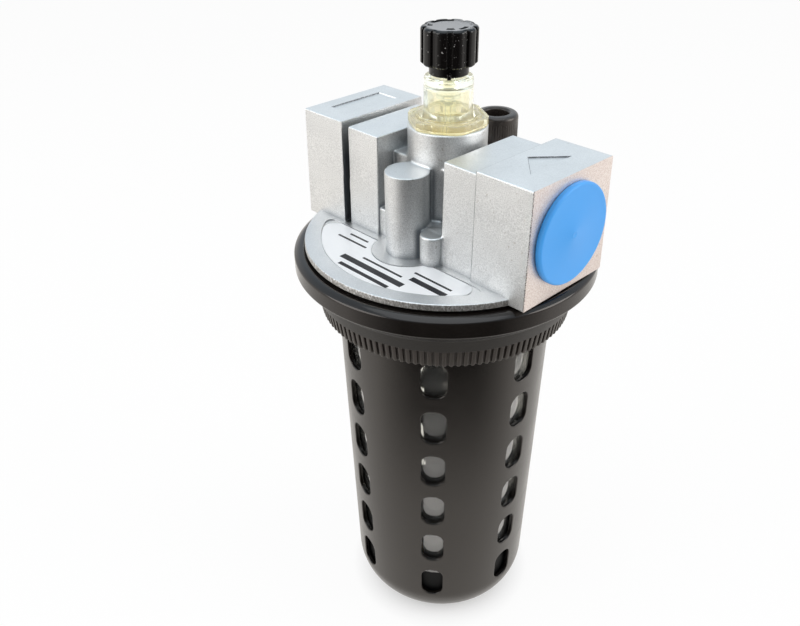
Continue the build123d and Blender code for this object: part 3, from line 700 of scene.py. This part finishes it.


# Smooth normals from the distance's gradient, flat ones on the cut faces and the panels, and how hidden each
# point is: the share of three lengths along the normal by which the distance there falls short of them, which
# the casting's material paints as shade
def setCastingNormals(mesh):
    h = head
    points = rowsOf(mesh.vertices, "co") / mm
    smooth = fieldSlope(points)
    smooth /= np.linalg.norm(smooth, axis=1)[:, None] + 1e-9
    centre, normal = centres(mesh), rowsOf(mesh.polygons, "normal")
    flat = np.abs(centre[:, 0]) > h["portX"] - 0.001
    finish = flat.astype(int)
    for corners in panels:
        low, high = corners.min(0) - h["panelMargin"], corners.max(0) + h["panelMargin"]
        within = np.all((centre[:, :2] > low) & (centre[:, :2] < high), axis=1)
        within &= centre[:, 2] > h["blockTop"] - h["panelDepth"] - 0.01
        # Recess walls facing +x take the dark metal, painted shade
        finish[within & (normal[:, 0] > 0.3)] = 2
        flat = flat | within
    setFinish(mesh, finish)
    # Occlusion of each point, for the painted shade in the casting's material
    paintedShade = np.zeros(len(smooth))
    for reach, weight in h["hiding"]:
        paintedShade += weight * np.clip(1 - castingField(*(points + smooth * reach).T) / reach, 0, 1)
    mesh.attributes.new("occlusion", "FLOAT", "POINT").data.foreach_set("value", paintedShade)
    corner = np.zeros(len(mesh.loops), np.int32)
    mesh.loops.foreach_get("vertex_index", corner)
    sides = np.zeros(len(centre), np.int32)
    mesh.polygons.foreach_get("loop_total", sides)
    owner = np.repeat(np.arange(len(centre)), sides)
    mesh.normals_split_custom_set(np.where(flat[owner][:, None], normal[owner], smooth[corner]).tolist())


def makeCasting():
    h = head
    past = h["portX"] + h["past"] + 1
    marksX = [-h["grooveX"] - h["grooveHalf"], -h["grooveX"] + h["grooveHalf"], -h["outletMiddleX"],
              h["middleX"], h["stepX"]]
    points, quads = surfaceNet(gridLines(-past, past, marksX), gridLines(-h["gridY"], h["gridY"], h["marksY"]),
                               gridLines(h["faceZ"] - 1, h["turretTop"] + 1, h["marksZ"]))
    mesh = makeMesh("headCasting", pullToField(points), quads)
    edit(mesh, cutCasting)
    mesh.set_sharp_from_angle(angle=math.radians(60))
    setCastingNormals(mesh)
    return makePiece("headCasting", mesh, castMetal, boredMetal, shadedWallMetal, crisp=None)


headCasting = makeCasting()
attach(headCasting, "casting")
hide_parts("body")
print("casting made with", len(headCasting.data.polygons), "faces")


# Flange rim: the turned disc with the label's half moon recess in it

# Half moon from arcs: the flange's arc less the rim, a straight edge with rounded tips, the pad's arc
def moonOutline(margin, tip):
    h = head
    radius, edge = h["flangeRadius"] - h["recessRim"] - margin, h["recessEdge"] + margin
    pad = h["padRadius"] + margin
    tipX, tipY = math.sqrt((radius - tip) ** 2 - (edge + tip) ** 2), -edge - tip
    turn = math.atan2(tipY, tipX)
    padTurn = math.asin((edge - h["riserY"]) / pad)

    def arc(x, y, size, start, end, count):
        return onCircle(size, np.linspace(start, end, count)) + [x, y]

    return np.concatenate([
        arc(tipX, tipY, tip, math.pi / 2, turn, 10),
        arc(0, 0, radius, turn, -math.pi - turn, 128)[1:-1],
        arc(-tipX, tipY, tip, -math.pi - turn, -1.5 * math.pi, 10),
        arc(0, -h["riserY"], pad, -math.pi + padTurn, -padTurn, 64),
    ])[::-1]


def makeFlangeRim():
    h = head
    inner, outer = h["skirtRadius"] - h["hubInset"], h["flangeRadius"]
    flatFrom, hubZ = outer - h["flatInset"], h["flangeUnder"] + h["hubRise"]
    under, top, floor = h["flangeUnder"], h["flangeTop"], h["flangeTop"] - h["recessDepth"]
    angle = fullTurn(288)
    moon = moonOutline(0, h["recessCorner"])
    mesh = makeMesh("flangeRim", *turned(roundedOutline([
        (inner, hubZ), (inner, under), (outer, under, 0.25), (outer - 0.05, top, 0.35), (flatFrom, top),
    ], False), angle))

    def build(work):
        fillFlat(work, [onCircle(flatFrom, angle), moon], top)
        fillFlat(work, [moon], floor)
        fillFlat(work, [onCircle(inner, angle)], hubZ)
        addWall(work, addLoop(work, moon, floor)[0], addLoop(work, moon, top)[0])
        weld(work)

    edit(mesh, build)
    setFinish(mesh, np.hypot(*centres(mesh)[:, :2].T) > outer - h["roughEdge"])
    return makePiece("flangeRim", mesh, flangeMetal, roughMetal)


flangeRim = makeFlangeRim()
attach(flangeRim, "casting")


# Label: half moon with rounder tips than its recess, and plain printed bars (across, along, width, height)
label = {
    "margin": 0.3, "tip": 3.4, "edge": 0.08,
    "bars": [(1.8, -35.3, 20.0, 1.4), (1.6, -31.9, 25.0, 2.2), (2.6, -28.7, 16.0, 0.8),
             (-15.4, -21.4, 8.0, 0.8), (-15.4, -24.2, 12.4, 0.8), (18.4, -24.4, 14.0, 0.8),
             (19.4, -27.4, 13.0, 2.0)],
}


def makeLabel():
    low, high = spanOf("label")
    margin, edge = label["margin"], label["edge"]
    side, rim = moonOutline(margin, label["tip"]), moonOutline(margin + edge, label["tip"])
    points = np.concatenate([raised(side, low[2]), raised(side, high[2] - edge), raised(rim, high[2])])
    mesh = makeMesh("faceLabel", points, gridQuads(3, len(side)))
    bars = [square * [width / 2, height / 2] + [x, y] for x, y, width, height in label["bars"]]

    def build(work):
        fillFlat(work, [rim, *bars], high[2])
        for bar in bars:
            fillFlat(work, [bar], high[2])
        fillFlat(work, [side], low[2], (0, 0, -1))
        weld(work)
        bmesh.ops.recalc_face_normals(work, faces=work.faces)

    edit(mesh, build)
    centre = centres(mesh)
    inked = sum(np.all((centre[:, :2] > bar[0]) & (centre[:, :2] < bar[2]), axis=1) for bar in bars)
    setFinish(mesh, (inked > 0) & (centre[:, 2] > low[2] + 0.05))
    return makePiece("faceLabel", mesh, labelWhite, labelInk)


faceLabel = makeLabel()
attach(faceLabel, "casting")
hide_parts("label")


thread = {"toothSlope": 2.6, "toothFoot": 0.15, "perPitch": 10}


# Thread: a sleeve whose radius swings between root and crest along a helix.
# radius = root + (crest - root) * tooth, where tooth depends on height / pitch - angle / full turn
def threadSleeve(root, crest, pitch, low, high, steps=96):
    height = np.linspace(low, high, int((high - low) / pitch * thread["perPitch"]))[:, None]
    angle = fullTurn(steps)
    phase = (height / pitch - angle / (2 * math.pi)) % 1
    tooth = np.clip(np.abs(phase - 0.5) * thread["toothSlope"] - thread["toothFoot"], 0, 1)
    fade = ease(0, pitch, np.minimum(height - low, high - height))
    return roundSurface(root + (crest - root) * tooth * fade, height, angle)


h = head
skirtThread = makePiece("skirtThread", makeMesh("skirtThread", *threadSleeve(
    h["skirtRoot"], h["skirtRadius"], h["skirtPitch"], h["skirtEnd"] + 0.02, h["flangeUnder"], 192)),
    castMetal, crisp=None)
sleeve, sleeveQuads, _ = threadSleeve(h["portBore"] + 0.02, h["threadCrest"], h["threadPitch"], h["boreEnd"],
                                      h["portX"] - 0.02)
outletThread, inletThread = [makePiece(name, makeMesh(
    name, alongX(sleeve * side, h["portZ"]), sleeveQuads[:, ::-1]), boredMetal, crisp=None)
    for name, side in (("outletThread", (1, -1, -1)), ("inletThread", (1, 1, 1)))]
for piece in (skirtThread, outletThread, inletThread):
    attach(piece, "casting")
print("flange and threads made")

# Clamp ring: rim, tapered band and notched grip
ring = {
    "lip": 3.4, "gripLow": 38.8, "gripHigh": 39.8, "gripHeight": 5.9, "bandLow": 40.2, "bandTop": 42.0,
    "bandHeight": 5.0, "underHeight": 3.5, "rimHeight": 4.5, "shoulder": 44.2, "innerFall": 0.5,
    "innerFrom": 42.8, "boreRadius": 34.05, "chamberRadius": 36.2, "threadRadius": 39.2, "chamberTop": 132.05,
    "notches": 120, "notchWidth": 0.85, "notchDepth": 0.7, "ribFoot": 0.9, "ribRound": 0.45, "glossBelow": 1.8,
}


def makeClampRing():
    r = ring
    low, high = spanOf("clamp_ring")
    rim, bottom, top = high[0], low[2], high[2]
    gripTop = bottom + r["gripHeight"]
    bandTop = gripTop + r["bandHeight"]
    rimLow = bandTop + r["underHeight"]
    inside, lip = top - r["innerFall"], bottom + r["lip"]
    profile = roundedOutline([
        (r["boreRadius"], bottom), (r["gripLow"], bottom, 0.4), (r["gripLow"] + 0.15, bottom + r["ribFoot"]),
        (r["gripHigh"], gripTop), (r["bandLow"], gripTop, 0.15), (r["bandTop"], bandTop, 2.0),
        (rim, rimLow, 0.8), (rim, rimLow + r["rimHeight"], 0.9), (r["shoulder"], top, 2.6),
        (r["innerFrom"], inside, 0.5), (r["threadRadius"], inside), (r["threadRadius"], r["chamberTop"]),
        (r["chamberRadius"], r["chamberTop"]), (r["chamberRadius"], lip), (r["boreRadius"], lip),
    ])
    radius, height = profile[:, :1], profile[:, 1:]
    half = r["notchWidth"] * r["notches"] / (4 * math.pi * r["gripHigh"])
    within = np.array([-0.5, -0.38, -half - 0.05, -half, -half + 0.04, 0.0,
                       half - 0.04, half, half + 0.05, 0.38])
    side = np.tile(np.abs(within), r["notches"])
    notch = 1 - ease(half - 0.05, half + 0.01, side)
    ribEdge = np.where(side > half - 0.01, 1 - (side - half) / (0.5 - half), 0)
    foot = ease(0, r["ribFoot"], bottom + r["ribFoot"] - height)
    drop = r["notchDepth"] * notch + foot * r["ribRound"] * np.clip(ribEdge, 0, 1) ** 2
    grip = (height < gripTop + 0.01) & (radius > r["gripLow"] - 0.5) & (radius < r["gripHigh"] + 0.01)
    angle = stepTurn(r["notches"], within)
    mesh = makeMesh("clampRing", *roundSurface(radius - grip * drop, height, angle, True))
    level = centres(mesh)[:, 2]
    setFinish(mesh, (level < rimLow - r["glossBelow"]).astype(int) + (level < gripTop + 0.1))
    return makePiece("clampRing", mesh, ringGloss, ringBand, ringMatt)


clampRing = makeClampRing()
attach(clampRing, "collar")
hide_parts("clamp_ring")
print("clamp ring made with", len(clampRing.data.polygons), "faces")


# Bowl guard: a tapered cup built from tiles, each with one rounded window
guard = {
    "height": 124.0, "topRadius": 33.7, "footRadius": 30.2, "corner": 15.2, "wall": 1.6, "flangeRadius": 35.9,
    "flangeThick": 2.5, "drain": 8.0, "columns": 7, "rows": 6, "windowWidth": 7.9, "windowHeight": 12.4,
    "windowCorner": 3.4, "firstZ": 111.0, "pitch": 17.94, "lip": 0.35, "lipRoom": 0.15, "side": 16,
    "spreads": [1, 0.82, 0.66, 0.51, 0.37, 0.24, 0.12, 0.04, 0],
}


# Guard radius at a height: the cone, and below its tangent point the foot's arc, inset by a distance
def guardRadius(z, inset=0.0):
    g = guard
    slope = (g["topRadius"] - g["footRadius"]) / g["height"]
    tilt = math.atan(slope)
    corner, middleZ = g["corner"] - inset, g["corner"]
    middleR = g["footRadius"] + slope * middleZ - g["corner"] / math.cos(tilt)
    arc = middleR + np.sqrt(np.maximum(corner ** 2 - (z - middleZ) ** 2, 0))
    return np.where(z > middleZ - corner * math.sin(tilt), g["footRadius"] + slope * z - inset, arc)


# Rounded rectangle with as many points a side as the tile's border, each side from the middle of one
# corner arc to the middle of the next: two half arcs and the straight between them
def windowOutline(halfWidth, halfHeight, corner, side, bend=5):
    middles = square * [halfWidth - corner, halfHeight - corner]
    turn = np.arange(bend) / bend * math.pi / 4
    t = np.arange(side - 2 * bend)[:, None] / (side - 2 * bend)
    points = []
    for i, (middle, following) in enumerate(zip(middles, np.roll(middles, -1, 0))):
        facing = (i - 1) * math.pi / 2
        points += [middle + onCircle(corner, facing - math.pi / 4 + turn),
                   middle + onCircle(corner, facing) + t * (following - middle),
                   following + onCircle(corner, facing + turn)]
    return np.concatenate(points)


# One tile in (angle, height): loops from the outer border in to the window, through its rounded lip to
# the inner surface and back out to the border
def guardTile(middleAngle, middleZ):
    g = guard
    side, lip, wall = g["side"], g["lip"], g["wall"]
    wide = g["windowWidth"] / 2 * guardRadius(middleZ) / guardRadius(g["firstZ"])
    t = np.arange(side)[:, None] / side
    border = np.concatenate([start + t * (end - start) for start, end in zip(square, np.roll(square, -1, 0))])
    border = border * [math.pi / g["columns"], g["pitch"] / 2]

    def loop(grow, inset, spread):
        edge = windowOutline(wide + grow, g["windowHeight"] / 2 + grow, g["windowCorner"] + grow, side)
        z = edge[:, 1] + (border[:, 1] - edge[:, 1]) * spread
        radius = guardRadius(middleZ + z, inset)
        turn = np.arcsin(edge[:, 0] / radius)
        angle = middleAngle + turn + (border[:, 0] - turn) * spread
        return np.stack([radius * np.cos(angle), radius * np.sin(angle), middleZ + z], 1)

    outside = [(lip + g["lipRoom"], 0, spread) for spread in g["spreads"]]
    bend = [(lip * (1 - math.sin(a)), lip * (1 - math.cos(a))) for a in np.linspace(0, math.pi / 2, 5)]
    steps = [*outside, *[(grow, inset, 0) for grow, inset in bend],
             *[(inset, wall - grow, 0) for grow, inset in bend],
             *[(grow, wall, spread) for grow, _, spread in outside[::-1]]]
    return np.concatenate([loop(*step) for step in steps]), gridQuads(len(steps), 4 * side), noTris


def makeGuard():
    g = guard
    wall, count = g["wall"], g["columns"]
    tiles = [guardTile(column * 2 * math.pi / count, g["firstZ"] - row * g["pitch"])
             for row in range(g["rows"]) for column in range(count)]
    angle = fullTurn(count * g["side"]) - math.pi / count
    high = g["firstZ"] + g["pitch"] / 2
    low = g["firstZ"] - (g["rows"] - 0.5) * g["pitch"]
    flangeTop = g["height"] + g["flangeThick"]
    upper = np.array([
        (guardRadius(high), high), (guardRadius(high + 2), high + 2), (g["topRadius"], g["height"]),
        (g["flangeRadius"], g["height"]), (g["flangeRadius"], flangeTop),
        (guardRadius(flangeTop, wall), flangeTop), (guardRadius(high, wall), high)])

    def footArc(floor):
        z = floor + (low - floor) * (1 - np.sin(np.linspace(0, math.pi / 2, 14)))
        return np.stack([guardRadius(np.maximum(z, floor + 1e-4), floor), z], 1)

    foot = np.concatenate([footArc(wall), [(g["drain"], wall), (g["drain"], 0)], footArc(0)[::-1]])
    mesh = makeMesh("bowlGuard", *joined(*tiles, turned(upper, angle), turned(foot, angle)))
    edit(mesh, lambda work: weld(work, 5e-6))
    return makePiece("bowlGuard", mesh, guardPaint)


bowlGuard = makeGuard()
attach(bowlGuard, "bowl_group")
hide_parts("bowl_guard")
print("guard made with", len(bowlGuard.data.polygons), "faces")


# Clear bowl: hangs by its flange between guard and head
bowl = {"gap": 0.3, "wall": 2.4, "footZ": 3.6, "floorZ": 6.0, "darkBelow": 24.4}


def makeBowl():
    g, b = guard, bowl
    low, high = spanOf("bowl")
    away, wall = g["wall"] + b["gap"], b["wall"]
    flangeZ = g["height"] + g["flangeThick"] + 0.05
    top, foot, corner = guardRadius(flangeZ) - away, g["footRadius"] - away, g["corner"] - away
    line = foot + (top - foot) * (b["darkBelow"] - b["footZ"]) / (flangeZ - b["footZ"])
    mesh = makeMesh("clearBowl", *turned(roundedOutline([
        (0, b["footZ"]), (foot, b["footZ"], corner), (line, b["darkBelow"]), (top, flangeZ, 0.5),
        (high[0], flangeZ, 0.3), (high[0], high[2], 0.3), (top - wall, high[2], 0.3),
        (line - wall, b["darkBelow"]), (foot - wall, b["floorZ"], corner - wall), (0, b["floorZ"]),
    ], False, 10), fullTurn(128)))
    # Below darkBelow the bowl takes the dark foot finish, painted shade
    setFinish(mesh, centres(mesh)[:, 2] < b["darkBelow"])
    return makePiece("clearBowl", mesh, clearBowl, bowlFootShade)


bowlPiece = makeBowl()
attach(bowlPiece, "bowl_group")
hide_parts("bowl")


# Sight dome: hexagon base trimmed round, stepped ring, rounded neck, hollow down to the well
dome = {
    "flats": 10.5, "trim": 11.4, "baseHeight": 2.5, "ring": 8.7, "neck": 6.9, "shoulder": 1.0, "bore": 5.8,
    "roof": 2.6, "stem": 2.48, "spigot": 8.07, "spigotLength": 6.0,
    "grooves": [(10.05, 0), (9.9, 0.3), (9.45, 0.3), (9.3, 0)], "threadDepth": 0.35, "threadStep": 0.28,
    "threadRows": 7, "threadFrom": 0.4, "ringHeight": 0.5, "neckRise": 1.6, "tintRise": 0.2,
}


def makeDome():
    d = dome
    low, high = spanOf("sight_dome")
    baseZ, roof, base = low[2] + d["spigotLength"], high[2], d["trim"]
    baseTop, ceiling = baseZ + d["baseHeight"], roof - d["roof"]
    profile = roundedOutline([
        (d["spigot"], low[2]), (d["spigot"], baseZ - 0.02), (base, baseZ, 0.25), (base, baseTop, 0.35),
        *[(row, baseTop - depth) for row, depth in d["grooves"]],
        (d["ring"], baseTop), (d["ring"], baseTop + d["ringHeight"], 0.2),
        (d["neck"], baseTop + d["neckRise"], 0.8), (d["neck"], roof, d["shoulder"]), (d["stem"], roof, 0.2),
        *[(d["stem"] + d["threadDepth"] * (i % 2), roof - d["threadFrom"] - i * d["threadStep"])
          for i in range(d["threadRows"])],
        (d["stem"], ceiling), (d["bore"], ceiling, 1.0), (d["bore"], low[2]),
    ], arcSteps=8)
    angle = fullTurn(240)
    fromFlat = (angle + math.pi / 6) % (math.pi / 3) - math.pi / 6
    hexagon = np.minimum(d["flats"] / np.cos(fromFlat), base)
    share = np.clip((profile[:, :1] - d["ring"]) / (base - d["ring"]), 0, 1)
    radius = profile[:, :1] + share * (hexagon - base)
    mesh = makeMesh("sightDome", *roundSurface(radius, profile[:, 1:], angle, True))
    setFinish(mesh, centres(mesh)[:, 2] < baseTop + d["tintRise"])
    return makePiece("sightDome", mesh, clearDome, domeBase)


sightDome = makeDome()
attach(sightDome, "casting")
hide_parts("sight_dome")


# Adjusting knob: broad ribs with deep grooves on a plain collar, pointer tab, pale disc with plain marks
knob = {
    "ribs": 10, "groove": 1.5, "grooveDepth": 0.9, "turn": -45.9, "collar": 5.5, "collarHeight": 2.9,
    "edge": 0.9, "socket": 2.45, "tabWidth": 1.1, "tabHeight": 1.5, "tabReach": 7.0, "crown": 0.3,
    "foot": 0.35, "dish": 0.2, "dishRadius": 6.3, "discRows": (5.9, 5.2, 4.6, 4.0, 3.0),
    "marks": [(122, 190, 5.2, 6.4), (208, 226, 4.6, 5.9), (300, 334, 3.0, 4.6), (350, 390, 4.0, 5.2)],
}


# Upright bar from a closed outline in the ground plane, with a fan of triangles on both ends
def barSurface(outline, low, high):
    count = len(outline)
    column = np.arange(count)
    following = (column + 1) % count
    middle = outline.mean(0)[None]
    points = [raised(outline, low), raised(outline, high), raised(middle, low), raised(middle, high)]
    tris = np.concatenate([
        np.stack([following, column, np.full(count, 2 * count)], 1),
        np.stack([count + column, count + following, np.full(count, 2 * count + 1)], 1)])
    return np.concatenate(points), gridQuads(2, count), tris


def makeKnob():
    k = knob
    low, high = spanOf("adjusting_knob")
    outer, under, top = high[0], low[2], high[2]
    ribZ, discZ = under + k["collarHeight"], top - k["dish"]
    socketTop = ribZ + (top - ribZ) / 2 + 0.05
    profile = roundedOutline([
        (0, socketTop), (k["socket"], socketTop), (k["socket"], under), (k["collar"], under, 0.3),
        (k["collar"], ribZ), (outer - k["foot"], ribZ), (outer, ribZ + k["foot"], 0.2),
        (outer, top, k["edge"]), (k["dishRadius"], top, 0.2), (k["dishRadius"] - 0.2, discZ, 0.1),
        *[(row, discZ) for row in k["discRows"]], (0, discZ),
    ], False)

    # Cross-section of one rib and groove: distance round the rim and depth
    pitch, half, turn = 2 * math.pi * outer / k["ribs"], k["groove"] / 2, math.radians(k["turn"])
    side = [(half - 0.08, -k["grooveDepth"], 0.2), (half, -k["crown"], 0.22),
            (half + 0.75, -k["crown"] * 0.25, 1.2), (pitch / 2, 0)]
    section = roundedOutline([(-corner[0], *corner[1:]) for corner in side[::-1]] + side, False, 4)[:-1]
    angle = stepTurn(k["ribs"], section[:, 0] / pitch) + turn
    reach = np.clip((profile[:, :1] - k["collar"]) / (outer - k["collar"] - k["edge"]), 0, 1)
    reach *= profile[:, 1:] > under + 0.5
    surface = roundSurface(profile[:, :1] + reach * np.tile(section[:, 1], k["ribs"]), profile[:, 1:], angle)
    near, far, half = k["collar"] - 1, k["tabReach"], k["tabWidth"] / 2
    corners = [(near, -half, 0.25), (far, -half, 0.25), (far, half, 0.25), (near, half, 0.25)]
    tab, *faces = barSurface(roundedOutline(corners), under + 0.01, under + k["tabHeight"])
    tab = tab @ np.array(Matrix.Rotation(turn, 3, "Z")).T
    mesh = makeMesh("adjustingKnob", *joined(surface, (tab, *faces)))
    x, y, z = centres(mesh).T
    radial, around = np.hypot(x, y), np.degrees(np.arctan2(y, x)) % 360
    disc = (z > discZ - 0.02) & (radial < k["dishRadius"])
    finish = disc.astype(int)
    for start, end, inner, rim in k["marks"]:
        finish[disc & (radial > inner) & (radial < rim) & ((around - start) % 360 < end - start)] = 2
    setFinish(mesh, finish)
    return makePiece("adjustingKnob", mesh, knobBlack, knobTop, knobMark)


adjustingKnob = makeKnob()
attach(adjustingKnob, "metering")
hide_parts("adjusting_knob")


# Filler plug: cup-shaped head with fine upright ribs and a broad rounded rim
filler = {
    "shank": 4.92, "shankLength": 9.0, "cup": 3.75, "cupDepth": 7.0, "ribs": 54, "ribDepth": 0.25,
    "plainTop": 2.4, "shoulder": 1.3, "threadPitch": 1.5, "threadDepth": 0.45, "threadSteps": 72,
}


def makeFiller():
    f = filler
    low, high = spanOf("filler_plug")
    outer, top, headZ, count = high[0], high[2], low[2] + f["shankLength"], f["threadSteps"]
    profile = roundedOutline([
        (f["shank"] - 0.5, headZ - 0.2), (f["shank"] - 0.5, headZ), (outer, headZ, 0.3),
        (outer, top - f["plainTop"]), (outer, top - 0.15, f["shoulder"]), (f["cup"] + 0.5, top, 0.3),
        (f["cup"], top - 0.6, 0.2), (f["cup"] - 0.1, top - f["cupDepth"]), (0, top - f["cupDepth"]),
    ], False)
    radius, height = profile[:, :1], profile[:, 1:]
    within = np.array([-0.5, -0.3, -0.18, 0.0, 0.18, 0.3])
    mask = np.tile(1 - ease(0.14, 0.34, np.abs(within)), f["ribs"])
    ribbed = (radius > outer - 0.05) & (height < top - f["plainTop"] - 0.05)
    plugHead = roundSurface(radius - ribbed * f["ribDepth"] * mask, height, stepTurn(f["ribs"], within))
    root = f["shank"] - f["threadDepth"]
    shank, quads, _ = threadSleeve(root, f["shank"], f["threadPitch"], low[2], headZ, count)
    column = np.arange(count)
    tip = np.stack([np.full(count, len(shank)), (column + 1) % count, column], 1)
    points, *faces = joined(plugHead, (np.vstack([shank, [[0, 0, low[2]]]]), quads, tip))
    return makePiece("fillerPlug", makeMesh("fillerPlug", points + [0, head["fillerY"], 0], *faces), plugBlack)


fillerPlug = makeFiller()
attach(fillerPlug, "filler")
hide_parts("filler_plug")


# Inlet plug: a disc over the port with a hollow push-in skirt, turned about the port's axis
inlet = {
    "radius": 14.2, "edge": 0.7, "skirt": 9.1, "skirtLength": 11.0, "skirtWall": 1.5,
    "taper": 0.25, "gate": 1.0, "gateHeight": 0.12,
}


def makeInletPlug():
    p = inlet
    low, high = spanOf("inlet_plug")
    tip, back, front, skirt = low[0], low[0] + p["skirtLength"], high[0], p["skirt"]
    inner = skirt - p["skirtWall"]
    points, *faces = turned(roundedOutline([
        (0, back + 0.3), (inner, back, 0.3), (inner - p["taper"], tip, 0.3), (skirt - p["taper"], tip, 0.3),
        (skirt, back), (p["radius"], back, 0.25), (p["radius"], front, p["edge"]),
        (p["gate"] + 0.25, front - p["gateHeight"]), (p["gate"], front, 0.05), (p["gate"] - 0.35, front, 0.05),
        (0, front - 0.1),
    ], False), fullTurn(160))
    return makePiece("inletPlug", makeMesh("inletPlug", alongX(points, head["portZ"]), *faces), plugBlue)


inletPlug = makeInletPlug()
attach(inletPlug, "port_plug")
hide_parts("inlet_plug")
print("dome, knob and plugs made")


# Finishes of the solids that are shown as they are
finishes = {
    "bowl_seal": sealRubber, "siphon_tube": nylonWhite, "siphon_filter": bronze,
    "siphon_fitting": brass, "check_ball": ballSteel, "flow_guide": greyPlastic, "dome_seal": sealAmber,
    "drip_nozzle": clearDome, "metering_needle": clearDome, "stem_seal": sealRubber, "filler_seal": sealRubber,
}
for node, material in finishes.items():
    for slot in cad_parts[node].material_slots:
        slot.material = material


# Camera: fitted to the photograph
camera = {
    "azimuth": 46.74, "elevation": 32.36, "roll": -0.82, "distance": 0.27325, "lens": 37.23, "sensor": 36.0,
    "target": (-0.01381, -0.00656, 0.11063),
}


# Object that holds a camera's or a lamp's data
def addHolder(name, data):
    holder = bpy.data.objects.new(name, data)
    bpy.context.scene.collection.objects.link(holder)
    return holder


# The camera looks back along (sin azimuth cos elevation, -cos azimuth cos elevation, sin elevation)
def makeCamera():
    c = camera
    lens = bpy.data.cameras.new("camera")
    lens.lens, lens.sensor_width, lens.sensor_fit = c["lens"], c["sensor"], "HORIZONTAL"
    lens.clip_start = 0.01
    holder = addHolder("camera", lens)
    holder.matrix_world = (Matrix.Translation(c["target"])
                           @ Matrix.Rotation(math.radians(c["azimuth"]), 4, "Z")
                           @ Matrix.Rotation(math.radians(90 - c["elevation"]), 4, "X")
                           @ Matrix.Translation((0, 0, c["distance"]))
                           @ Matrix.Rotation(math.radians(c["roll"]), 4, "Z"))
    bpy.context.scene.camera = holder


makeCamera()


# Floor and light. Gloss sees a white room with a cool ceiling and one dark side, as where a photographer
# stands; darkCosine is how near a direction is to that side, darkReach the distance on the floor.
studio = {
    "floorSize": 4.0, "floorColour": (0.94, 0.94, 0.94), "floorCloud": (0.96, 0.96, 0.96),
    "floorGlow": (1.0, 0.97, 0.925), "floorShare": 0.93, "footShadow": (0.014, 0.034),
    "worldLight": 0.45, "ceiling": (0.72, 0.87, 1.0), "ceilingFrom": (0.1, 0.6),
    "darkSide": (0.728, -0.686, 0.0), "darkShare": 0.95, "darkCosine": (0.28, 0.86),
    "darkReach": (0.085, 0.165), "lampTarget": (0, 0, 0.12),
    "lamps": {
        "leftSoftbox": {"place": (-0.46, -1.0, 0.66), "size": 1.0, "power": 7.0, "colour": (1, 0.98, 0.95)},
        "rightSoftbox": {"place": (0.9, 0.62, 0.6), "size": 0.8, "power": 6.0, "colour": (1, 0.97, 0.94)},
        "topSoftbox": {"place": (0.05, -0.05, 1.05), "size": 1.1, "power": 3.5, "colour": (0.88, 0.95, 1)},
    },
}


def rays(tree, kind):
    return addNode(tree, "LightPath").outputs["Is " + kind + " Ray"]


# Mask of the rays that see the backdrop itself: straight from the camera, mirrored or through glass
def backdropRays(tree):
    seen = combine(tree, "MAXIMUM", rays(tree, "Camera"), rays(tree, "Glossy"))
    return combine(tree, "MAXIMUM", seen, rays(tree, "Transmission"))


# Share of darkness by direction: it grows with the cosine between the direction and the dark side
def darkShare(tree, direction):
    unit = combineVectors(tree, "NORMALIZE", direction)
    cosine = combineVectors(tree, "DOT_PRODUCT", unit, studio["darkSide"])
    share = remap(tree, cosine, *studio["darkCosine"], 0, studio["darkShare"])
    return product(tree, share, rays(tree, "Glossy"))


def makeWorld():
    world = bpy.data.worlds.new("studio")
    bpy.context.scene.world = world
    world.use_nodes = True
    tree = world.node_tree
    direction = addNode(tree, "TexCoord").outputs["Generated"]
    high = remap(tree, split(tree, direction)["Z"], *studio["ceilingFrom"])
    room = mixColours(tree, product(tree, high, rays(tree, "Glossy")), (1, 1, 1), studio["ceiling"])
    colour = mixColours(tree, darkShare(tree, direction), room, (0, 0, 0))
    strength = remap(tree, backdropRays(tree), 0, 1, studio["worldLight"], 1.0)
    setInputs(tree, tree.nodes["Background"], Color=colour, Strength=strength)


# Floor: pale and matt where light falls on it, its own glow where a ray looks at it, but for a shadow under
# the foot and a dark patch in the gloss, which starts at a distance from the middle
def makeFloor():
    material, tree, shader, place = startMaterial("paleFloor", Roughness=0.9)
    cloud = placeGrain(tree, place, 300.0, 8.0)["Mottle"]
    setInputs(tree, shader, Base_Color=mixColours(tree, cloud, studio["floorColour"], studio["floorCloud"]))
    distance = combineVectors(tree, "LENGTH", place)
    glossy = rays(tree, "Glossy")
    dark = product(tree, darkShare(tree, place), remap(tree, distance, *studio["darkReach"]))
    white = mixColours(tree, glossy, (1, 1, 1), studio["floorGlow"])
    glow = addNode(tree, "Emission", Color=mixColours(tree, dark, white, (0, 0, 0)), Strength=1.0)
    seen = combine(tree, "MAXIMUM", product(tree, backdropRays(tree), studio["floorShare"]), glossy)
    mix = addNode(tree, "MixShader", Fac=product(tree, seen, remap(tree, distance, *studio["footShadow"])))
    feed(tree, mix.inputs[1], shader.outputs[0])
    feed(tree, mix.inputs[2], glow.outputs[0])
    setInputs(tree, tree.nodes["Material Output"], Surface=mix.outputs[0])
    corners = raised(square * studio["floorSize"] / 2, 0) / mm
    floor = makePiece("floor", makeMesh("floor", corners, [(0, 1, 2, 3)]), material, crisp=None)


def makeLamps():
    for name, lamp in studio["lamps"].items():
        data = bpy.data.lights.new(name, "AREA")
        data.shape, data.size, data.energy, data.color = "DISK", lamp["size"], lamp["power"], lamp["colour"]
        holder = addHolder(name, data)
        holder.location = lamp["place"]
        holder.rotation_mode = "QUATERNION"
        aim = Vector(studio["lampTarget"]) - Vector(lamp["place"])
        holder.rotation_quaternion = aim.to_track_quat("-Z", "Y")


makeWorld()
makeFloor()
makeLamps()
bpy.context.scene.view_settings.view_transform = "Standard"
print("studio made")
